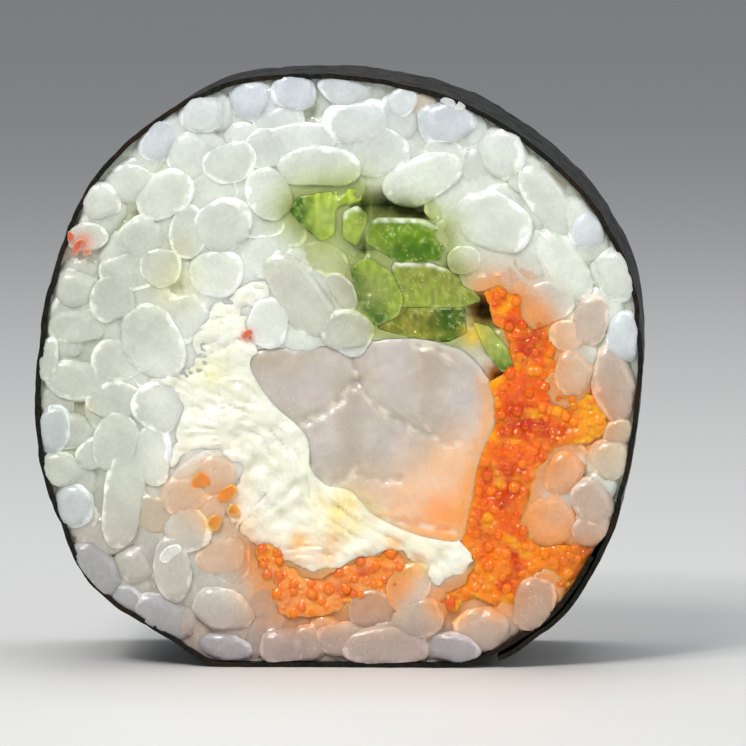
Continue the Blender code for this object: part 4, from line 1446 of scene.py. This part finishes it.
@dataclass
class Shrimp:
    """The shrimp: lobes of pale flesh with creases between them.

    Attributes:
        lobes: Each lobe's middle, size and height.
        creases: Each crease's path, width and depth.
    """

    plan: Plan
    mesher: Mesher
    lobes: tuple = (((7.5, 23.0), 4.6, 0.55), ((-3.8, 23.6), 3.4, 0.4), ((-0.4, 18.4), 2.2, 0.35),
                    ((5.0, 15.4), 3.4, 0.4))
    creases: tuple = (
        ([(1.0, 26.0), (1.6, 23.6), (3.0, 21.6), (4.6, 20.6), (6.0, 19.7), (7.2, 19.3)], 0.42, 0.32),
        ([(6.9, 20.6), (7.6, 19.2), (8.8, 18.2), (10.0, 18.6)], 0.3, 0.2),
        ([(1.6, 23.6), (-0.6, 21.4), (-3.0, 20.0), (-4.4, 20.2)], 0.42, 0.32),
        ([(-2.6, 18.4), (-2.4, 16.6), (-1.0, 14.9), (0.8, 15.6), (1.6, 16.6)], 0.35, 0.28),
        ([(1.8, 15.9), (3.4, 15.3), (5.2, 15.5)], 0.3, 0.24),
        ([(2.2, 13.6), (4.0, 13.0), (5.4, 13.4)], 0.28, 0.2),
        ([(3.4, 12.2), (6.0, 11.8), (9.6, 11.2)], 0.35, 0.25),
        ([(6.0, 26.6), (8.2, 26.2), (9.4, 25.2)], 0.3, 0.22),
    )

    def relief(self, place: Vector, face: Face) -> float:
        """Returns the height of lobes, creases and fibres."""
        height = 0.16 * bump_at(place, face, 2.2) + 0.1 * bump_at(place, face, 0.8)
        if face is Face.BACK:
            return height + 0.3 * bump_at(place, face, 6.0)
        for (x, z), size, lift in self.lobes:
            height += lift * math.exp(-((place - Vector((x, z))).length / size) ** 2)
        for path, width, deep in self.creases:
            height -= deep * math.exp(-((along(place, path) / width) ** 2))
        fibres = noise.noise(Vector((place.x * 1.6 + place.y * 0.9, face.value, place.y * 0.25)))
        return height + 0.1 * fibres * eased((17 - place.y) / 5)

    def tint(self, place: Vector, face: Face, depth: float) -> Colour:
        """Returns pinkish grey-white, warmer near the roe at the lower right, with painted crease
        highlights.
        """
        colour = blend((0.47, 0.41, 0.33), (0.56, 0.51, 0.48), 0.5 + 0.9 * bump_at(place, face, 3.0))
        warm = place.x * 0.6 - place.y + 14 + 1.5 * bump_at(place, face, 2.5, 3.0)
        colour = blend(colour, (0.84, 0.55, 0.34), eased((warm + 2.5) / 6))
        colour = blend(colour, (0.95, 0.36, 0.08), 0.9 * eased((warm - 2.5) / 5))
        near = self.plan.fillings["roe_right"].depth(place.x, place.y)
        colour = blend(colour, (0.90, 0.34, 0.06), 0.6 * eased(1 + near / 1.6))
        # Painted highlights along the creases on the front face
        for path, width, _ in self.creases if face is Face.FRONT else ():
            line = math.exp(-((along(place, path) / width / 0.6) ** 2))
            broken = eased(0.4 + 2.0 * bump_at(place, face, 0.7))
            colour = blend(colour, (0.92, 0.84, 0.70), 0.7 * line * broken)
        return blend(colour, (0.82, 0.76, 0.62), 0.35 * (1 - eased(depth / 0.7)))

    def build(self, finish: bpy.types.Material) -> bpy.types.Object:
        """Builds and dresses the shrimp."""
        piece = Filling(self.plan, self.mesher, "shrimp", [], 0.62, 0.1, 0.7, 0.24, self.relief, self.tint)
        return piece.build(finish, Slot.SHRIMP)


@dataclass
class CreamCheese:
    """The cream cheese, smeared and torn by the knife."""

    plan: Plan
    mesher: Mesher
    smear: float = math.radians(-38)

    def relief(self, place: Vector, face: Face) -> float:
        """Returns the height of the smears."""
        turn = Matrix.Rotation(-self.smear + 0.5 * bump_at(place, face, 7.0), 2)
        drawn = turn @ place
        ridge = Vector((drawn.x / 2.4, face.value * 4, drawn.y / 0.8))
        sharp = noise.ridged_multi_fractal(ridge, 0.7, 2.1, 5, 1.0, 2.0)
        soft = 0.40 * bump_at(place, face, 2.2) + 0.25 * bump_at(place, face, 0.9)
        return 0.26 * (sharp - 1.1) + soft

    def tint(self, place: Vector, face: Face, depth: float) -> Colour:
        """Returns white, with a yellow stain near the shrimp."""
        colour = blend((0.72, 0.74, 0.58), (0.88, 0.89, 0.77), 0.65 + 0.9 * bump_at(place, face, 1.6))
        warm = eased((place.x * 0.5 - place.y + 18) / 8)
        return blend(colour, (0.94, 0.84, 0.62), 0.5 * warm * (0.6 + bump_at(place, face, 1.3)))

    def build(self, finish: bpy.types.Material) -> bpy.types.Object:
        """Builds and dresses the cream cheese."""
        others = [name for name in self.plan.fillings if name not in ("cream_cheese", "shrimp")]
        piece = Filling(self.plan, self.mesher, "cream_cheese", others, 0.38, 0.1, 0.6, 0.24, self.relief,
                        self.tint)
        return piece.build(finish, Slot.CREAM_CHEESE)


@dataclass
class CucumberStick:
    """One stick of cucumber: pale flesh, with dark skin along one side.

    Attributes:
        number: Which of the sticks it is.
        flesh: The flesh's colour.
        skin: The skin's colour.
        skin_side: The direction in which the skin lies, in degrees.
        skin_share: How far the skin's colour reaches.
        recess: How far its face lies behind the knife's plane.
        painted_shine_side: The direction of the edge with a painted highlight, in degrees, or None.
        edge: How soft the change from flesh to skin is.
    """

    plan: Plan
    mesher: Mesher
    number: int
    flesh: Colour
    skin: Colour
    skin_side: float
    skin_share: float = 0.4
    recess: float = 0.6
    painted_shine_side: float | None = None
    edge: float = 0.3

    def across(self, place: Vector, side: float) -> float:
        """Returns 0 to 1 from the stick's far side to the side in a direction, in degrees."""
        starts = self.plan.fillings[STICKS[self.number - 1]].starts
        turn = math.radians(side)
        reach = starts @ np.array((math.cos(turn), math.sin(turn)))
        here = place.x * math.cos(turn) + place.y * math.sin(turn)
        return (here - reach.min()) / (reach.max() - reach.min())

    def relief(self, place: Vector, face: Face) -> float:
        """Returns the height of the cut flesh, which sinks towards its watery middle."""
        fibres = noise.noise(Vector((place.x * 2.2, self.number, place.y * 0.7)))
        wavy = 0.34 * bump_at(place, face, 1.5, self.number) + 0.2 * bump_at(place, face, 0.6)
        return wavy + 0.14 * fibres

    def tint(self, place: Vector, face: Face, depth: float) -> Colour:
        """Returns the flesh's colour, turning to the skin's, with painted highlights at the rim and one
        edge.
        """
        share = self.across(place, self.skin_side) + 0.16 * bump_at(place, face, 0.9)
        colour = blend(self.flesh, self.skin, eased((share - 1 + self.skin_share) / self.edge))
        streak = noise.noise(Vector((place.x * 2.6, self.number, place.y * 0.8)))
        colour = blend(colour, self.skin, 0.45 * eased(0.5 + 1.5 * streak))
        patch = bump_at(place, face, 1.1, self.number + 5)
        colour = blend(colour, (0.40, 0.48, 0.09), 0.5 * eased(patch * 1.8) * (1 - eased(share)))
        vein = 1 - min(abs(bump_at(place, face, 1.0, self.number + 9)) / 0.07, 1.0)
        colour = blend(colour, (0.60, 0.72, 0.26), 0.35 * vein)
        broken = eased(0.5 + 1.6 * bump_at(place, face, 0.6, 3.0))
        # Painted highlight along one edge
        if self.painted_shine_side is not None:
            line = eased((self.across(place, self.painted_shine_side) - 0.76) / 0.1) * eased(2.0 - depth / 0.25)
            colour = blend(colour, (0.90, 0.95, 0.80), line * (0.4 + 0.6 * broken))
        # Painted highlight: a lighter, broken line just inside the rim
        return blend(colour, (0.55, 0.66, 0.24), 0.6 * broken * (1 - eased(depth / 0.2)))

    def build(self, finish: bpy.types.Material) -> bpy.types.Object:
        """Builds and dresses the stick."""
        others = ["shrimp"] + STICKS[: self.number - 1]
        piece = Filling(self.plan, self.mesher, STICKS[self.number - 1], others, self.recess, 0.1, 0.2,
                        0.18, self.relief, self.tint)
        return piece.build(finish, Slot.CUCUMBER)


@dataclass
class Roe:
    """A band of roe: eggs packed in their own jelly.

    Attributes:
        name: The solid that it stands for.
        others: The fillings that press into it.
        seed: Draws the eggs' places.
        pale: How pale the jelly is between the eggs.
        diameter: The least and the most diameter of an egg.
    """

    plan: Plan
    mesher: Mesher
    name: str
    others: list[str]
    seed: int
    pale: float = 0.0
    diameter: Pair = (0.8, 1.25)

    def relief(self, place: Vector, face: Face) -> float:
        """Returns the jelly's height."""
        return 0.28 * bump_at(place, face, 1.3) + 0.1 * bump_at(place, face, 0.5)

    def tint(self, place: Vector, face: Face, depth: float) -> Colour:
        """Returns the jelly's orange."""
        patchy = bump_at(place, face, 2.0) + 0.5 * bump_at(place, face, 0.8, 4.0)
        colour = blend((0.56, 0.030, 0.001), (0.82, 0.11, 0.002), 0.55 + 1.4 * patchy)
        colour = blend(colour, (0.90, 0.28, 0.005), 0.7 * (1 - eased(depth / 1.0)))
        low = eased((13 - place.y) / 4) * eased(0.65 + 1.4 * bump_at(place, face, 1.5, 7.0))
        colour = blend(colour, (0.90, 0.26, 0.005), 0.8 * low)
        yellow = eased((place.x - 18.2) / 2) * eased((place.y - 15) / 3)
        yellow = max(yellow, eased(2.5 * bump_at(place, face, 1.2, 11.0) - 0.4))
        colour = blend(colour, (0.88, 0.40, 0.008), 0.8 * yellow)
        colour = blend(colour, (0.86, 0.38, 0.13), self.pale * eased(0.7 + 1.2 * patchy))
        return blend(colour, (0.34, 0.05, 0.004), 0.85 * eased((place.x - place.y * 0.3 - 15) / 3))

    def lay(self, face: Face) -> list[Egg]:
        """Chooses the eggs' places on one face as (x, z, diameter, sink)."""
        rng = np.random.default_rng(self.seed + face.value)
        own = self.plan.fillings[self.name]
        eggs = []
        for sinks, spacing, tries in (((0.15, 0.35), 1.25, 1500), ((0.3, 0.55), 0.85, 6000)):
            places = rng.uniform(own.starts.min(0), own.starts.max(0), (tries, 2))
            diameters = rng.uniform(*self.diameter, tries)
            room = np.minimum(own.depths(places) - 0.3, self.plan.rice.depths(places) - diameters * 0.5)
            for other in ["shrimp"] + self.others:
                room = np.minimum(room, -self.plan.fillings[other].depths(places) - 0.1)
            taken: list[Egg] = []
            for i in np.flatnonzero(room > 0):
                x, z = places[i]
                size = diameters[i]
                if all(math.hypot(x - a, z - b) > (size + c) / 2 * spacing for a, b, c, _ in taken):
                    taken.append((x, z, size, rng.uniform(*sinks)))
            eggs += taken
        LOG.info("%s, %s face: %d eggs", self.name, face.name.lower(), len(eggs))
        return eggs

    def build(self, finish: bpy.types.Material) -> bpy.types.Object:
        """Builds and dresses the band."""
        piece = Filling(self.plan, self.mesher, self.name, self.others, 0.55, 0.08, 0.4, 0.35, self.relief,
                        self.tint, False)
        obj = piece.body()
        for face in Face:
            rng = random.Random(self.seed * 3 + face.value)
            for x, z, size, sink in self.lay(face):
                y = face.value * (HALF_LENGTH - sink - size / 2)
                turn = Matrix.Rotation(rng.uniform(0, math.tau), 4, "Y")
                spread = Matrix.Diagonal((size / 2, size / 2, size / 2 * rng.uniform(0.9, 1.0), 1.0))
                egg = bmesh.new()
                bmesh.ops.create_icosphere(egg, subdivisions=2, radius=1.0)
                seats = [vert.co.copy() for vert in egg.verts]
                egg.transform(Matrix.Translation((x, y, z)) @ turn @ spread @ turn.inverted())
                colour = blend(self.tint(Vector((x, z)), face, 1.0), (0.70, 0.10, 0.002), self.pale)
                colour = blend(colour, (0.92, 0.24, 0.004), rng.random() ** 1.5 * 0.8)
                paint(egg, [colour] * len(seats), seats)
                self.mesher.make("Egg", egg, self.mesher.parts)
        self.mesher.combine(obj, "UNION")
        return self.mesher.finish(obj, finish, Slot.ROE, GRAIN_EDGE, self.name)


@dataclass
class Studio:
    """The floor, the lights and the camera.

    Attributes:
        aim: Where the camera looks.
        azimuth: How far the camera stands to the right, in degrees.
        elevation: How far it stands above the level, in degrees.
        distance: How far it stands from where it looks.
        view_width: The width that the frame takes in there.
        sensor: The width of the camera's sensor.
        light_aim: How high on the slice the lights point, in metres.
    """

    aim: tuple[float, float, float] = (2.87, -12.5, 24.26)
    azimuth: float = 2.3
    elevation: float = 3.8
    distance: float = 730.0
    view_width: float = 61.1
    sensor: float = 36.0
    light_aim: float = 0.024

    def camera(self) -> None:
        """Puts the camera at the photograph's viewing angle."""
        data = bpy.data.cameras.new("Camera")
        data.sensor_width = self.sensor
        data.lens = self.sensor * self.distance / self.view_width
        data.clip_start = 0.05
        data.clip_end = 20.0
        obj = add_object("Camera", data)
        a = math.radians(self.azimuth)
        e = math.radians(self.elevation)
        back = Vector((math.sin(a) * math.cos(e), -math.cos(a) * math.cos(e), math.sin(e)))
        obj.location = (Vector(self.aim) + back * self.distance) * MM
        obj.rotation_euler = (-back).to_track_quat("-Z", "Y").to_euler()
        bpy.context.scene.camera = obj

    def light(self, name: str, place: tuple[float, float, float], size: float, power: float,
              colour: Colour) -> None:
        """Adds a soft square light that points at the slice.

        Args:
            name: Its name.
            place: Where it stands, in metres.
            size: Its side, in metres.
            power: Its power in watts.
            colour: Its colour.
        """
        data = bpy.data.lights.new(name, "AREA")
        data.size = size
        data.energy = power
        data.color = colour
        obj = add_object(name, data)
        obj.location = place
        aim = Vector((0, 0, self.light_aim)) - Vector(place)
        obj.rotation_euler = aim.to_track_quat("-Z", "Y").to_euler()

    def floor(self) -> None:
        """Lays the plain pale floor."""
        bm = bmesh.new()
        bmesh.ops.create_grid(bm, x_segments=1, y_segments=1, size=8.0)
        mesh = bpy.data.meshes.new("floor")
        bm.to_mesh(mesh)
        bm.free()
        made = bpy.data.materials.new("floor")
        made.use_nodes = True
        shader = made.node_tree.nodes["Principled BSDF"]
        shader.inputs["Base Color"].default_value = (0.72, 0.72, 0.70, 1.0)
        shader.inputs["Roughness"].default_value = 0.55
        mesh.materials.append(made)
        add_object("floor", mesh)

    def build(self) -> None:
        """Sets up the whole studio."""
        self.camera()
        self.floor()
        self.light("Key", (-0.22, -0.42, 0.52), 0.30, 2.8, (1.0, 0.98, 0.95))
        self.light("Fill", (0.50, -0.45, 0.25), 0.50, 1.3, (1.0, 0.97, 0.94))
        self.light("Top", (0.05, 0.20, 0.60), 0.40, 1.5, (0.94, 0.97, 1.0))
        self.light("Glint", (-0.16, -0.42, 0.38), 0.05, 0.6, (1.0, 1.0, 1.0))
        world = bpy.data.worlds.new("Studio")
        world.use_nodes = True
        sky = world.node_tree.nodes["Background"]
        sky.inputs["Color"].default_value = (0.90, 0.93, 1.0, 1.0)
        sky.inputs["Strength"].default_value = 0.28
        bpy.context.scene.world = world
        bpy.context.scene.view_settings.view_transform = "Standard"


FRESH_FLESH: Colour = (0.28, 0.42, 0.04)
PALE_FLESH: Colour = (0.32, 0.42, 0.05)
DARK_SKIN: Colour = (0.05, 0.13, 0.005)


def main() -> None:
    """Builds the slice, piece by piece."""
    logging.basicConfig(level=logging.INFO, format="%(name)s %(message)s")
    plan = Plan.drawn()
    mesher = Mesher()
    effects = Effects()

    Nori(plan, mesher).build(NoriFinish(
        "Nori", coat=0.03, coat_roughness=0.2, scatter=0.0, bump=0.07, coarse=900.0, fine=5000.0,
        gloss=(0.32, 0.5), shine=0.07).build(effects))
    Rice(plan, mesher).build(RiceFinish(
        "Rice", coat=0.6, coat_roughness=0.06, scatter=0.9, reach=(1.4, 1.35, 1.2), bump=0.035,
        coarse=1800.0, fine=6500.0, gloss=(0.3, 0.5)).build(effects))
    Shrimp(plan, mesher).build(TintFinish(
        "Shrimp", coat=0.6, coat_roughness=0.06, scatter=0.8, reach=(1.5, 1.1, 0.9), bump=0.06,
        coarse=1200.0, gloss=(0.25, 0.45), cloud=(0.78, 0.70, 0.60), cloudiness=0.25).build(effects))
    CreamCheese(plan, mesher).build(TintFinish(
        "Cream cheese", coat=0.2, scatter=0.6, reach=(0.7, 0.65, 0.5), bump=0.08, coarse=1900.0,
        fine=6000.0, gloss=(0.4, 0.65), cloud=(0.95, 0.95, 0.92), cloudiness=0.4).build(effects))
    cucumber = TintFinish(
        "Cucumber", coat=0.22, coat_roughness=0.05, scatter=0.4, reach=(0.6, 0.9, 0.3), bump=0.08,
        coarse=1800.0, gloss=(0.3, 0.45), shine=0.14, cloud=(0.34, 0.46, 0.06), cloudiness=0.25,
        glint_colour=(0.70, 0.78, 0.40), glint_share=0.5).build(effects)
    # The last column gives the side of each stick's painted highlight, or None
    for number, flesh, skin, side, share, recess, wet in (
        (1, (0.48, 0.63, 0.06), DARK_SKIN, 190, 0.4, 0.4, None),
        (2, PALE_FLESH, FRESH_FLESH, 90, 0.4, 0.25, 120),
        (3, (0.15, 0.28, 0.004), (0.06, 0.16, 0.003), 270, 0.6, 0.45, 84),
        (4, PALE_FLESH, DARK_SKIN, 215, 0.56, 0.35, None),
        (5, (0.22, 0.24, 0.04), PALE_FLESH, 270, 0.3, 0.6, 90),
        (6, (0.28, 0.25, 0.03), (0.04, 0.10, 0.002), 0, 0.52, 0.7, None),
        (7, (0.36, 0.44, 0.08), DARK_SKIN, 270, 0.3, 0.5, None),
    ):
        CucumberStick(plan, mesher, number, flesh, skin, side, share, recess, wet).build(cucumber)
    roe = RoeFinish("Roe", coat=0.45, coat_roughness=0.04, scatter=0.5, reach=(0.8, 0.3, 0.1), bump=0.03,
                    coarse=1500.0, gloss=(0.12, 0.3), shine=0.2).build(effects)
    Roe(plan, mesher, "roe_right", STICKS, 21).build(roe)
    Roe(plan, mesher, "roe_bottom", STICKS + ["roe_right"], 33, 0.7).build(roe)
    Studio().build()

    LOG.info("sizes written")


if __name__ == "__main__":
    main()
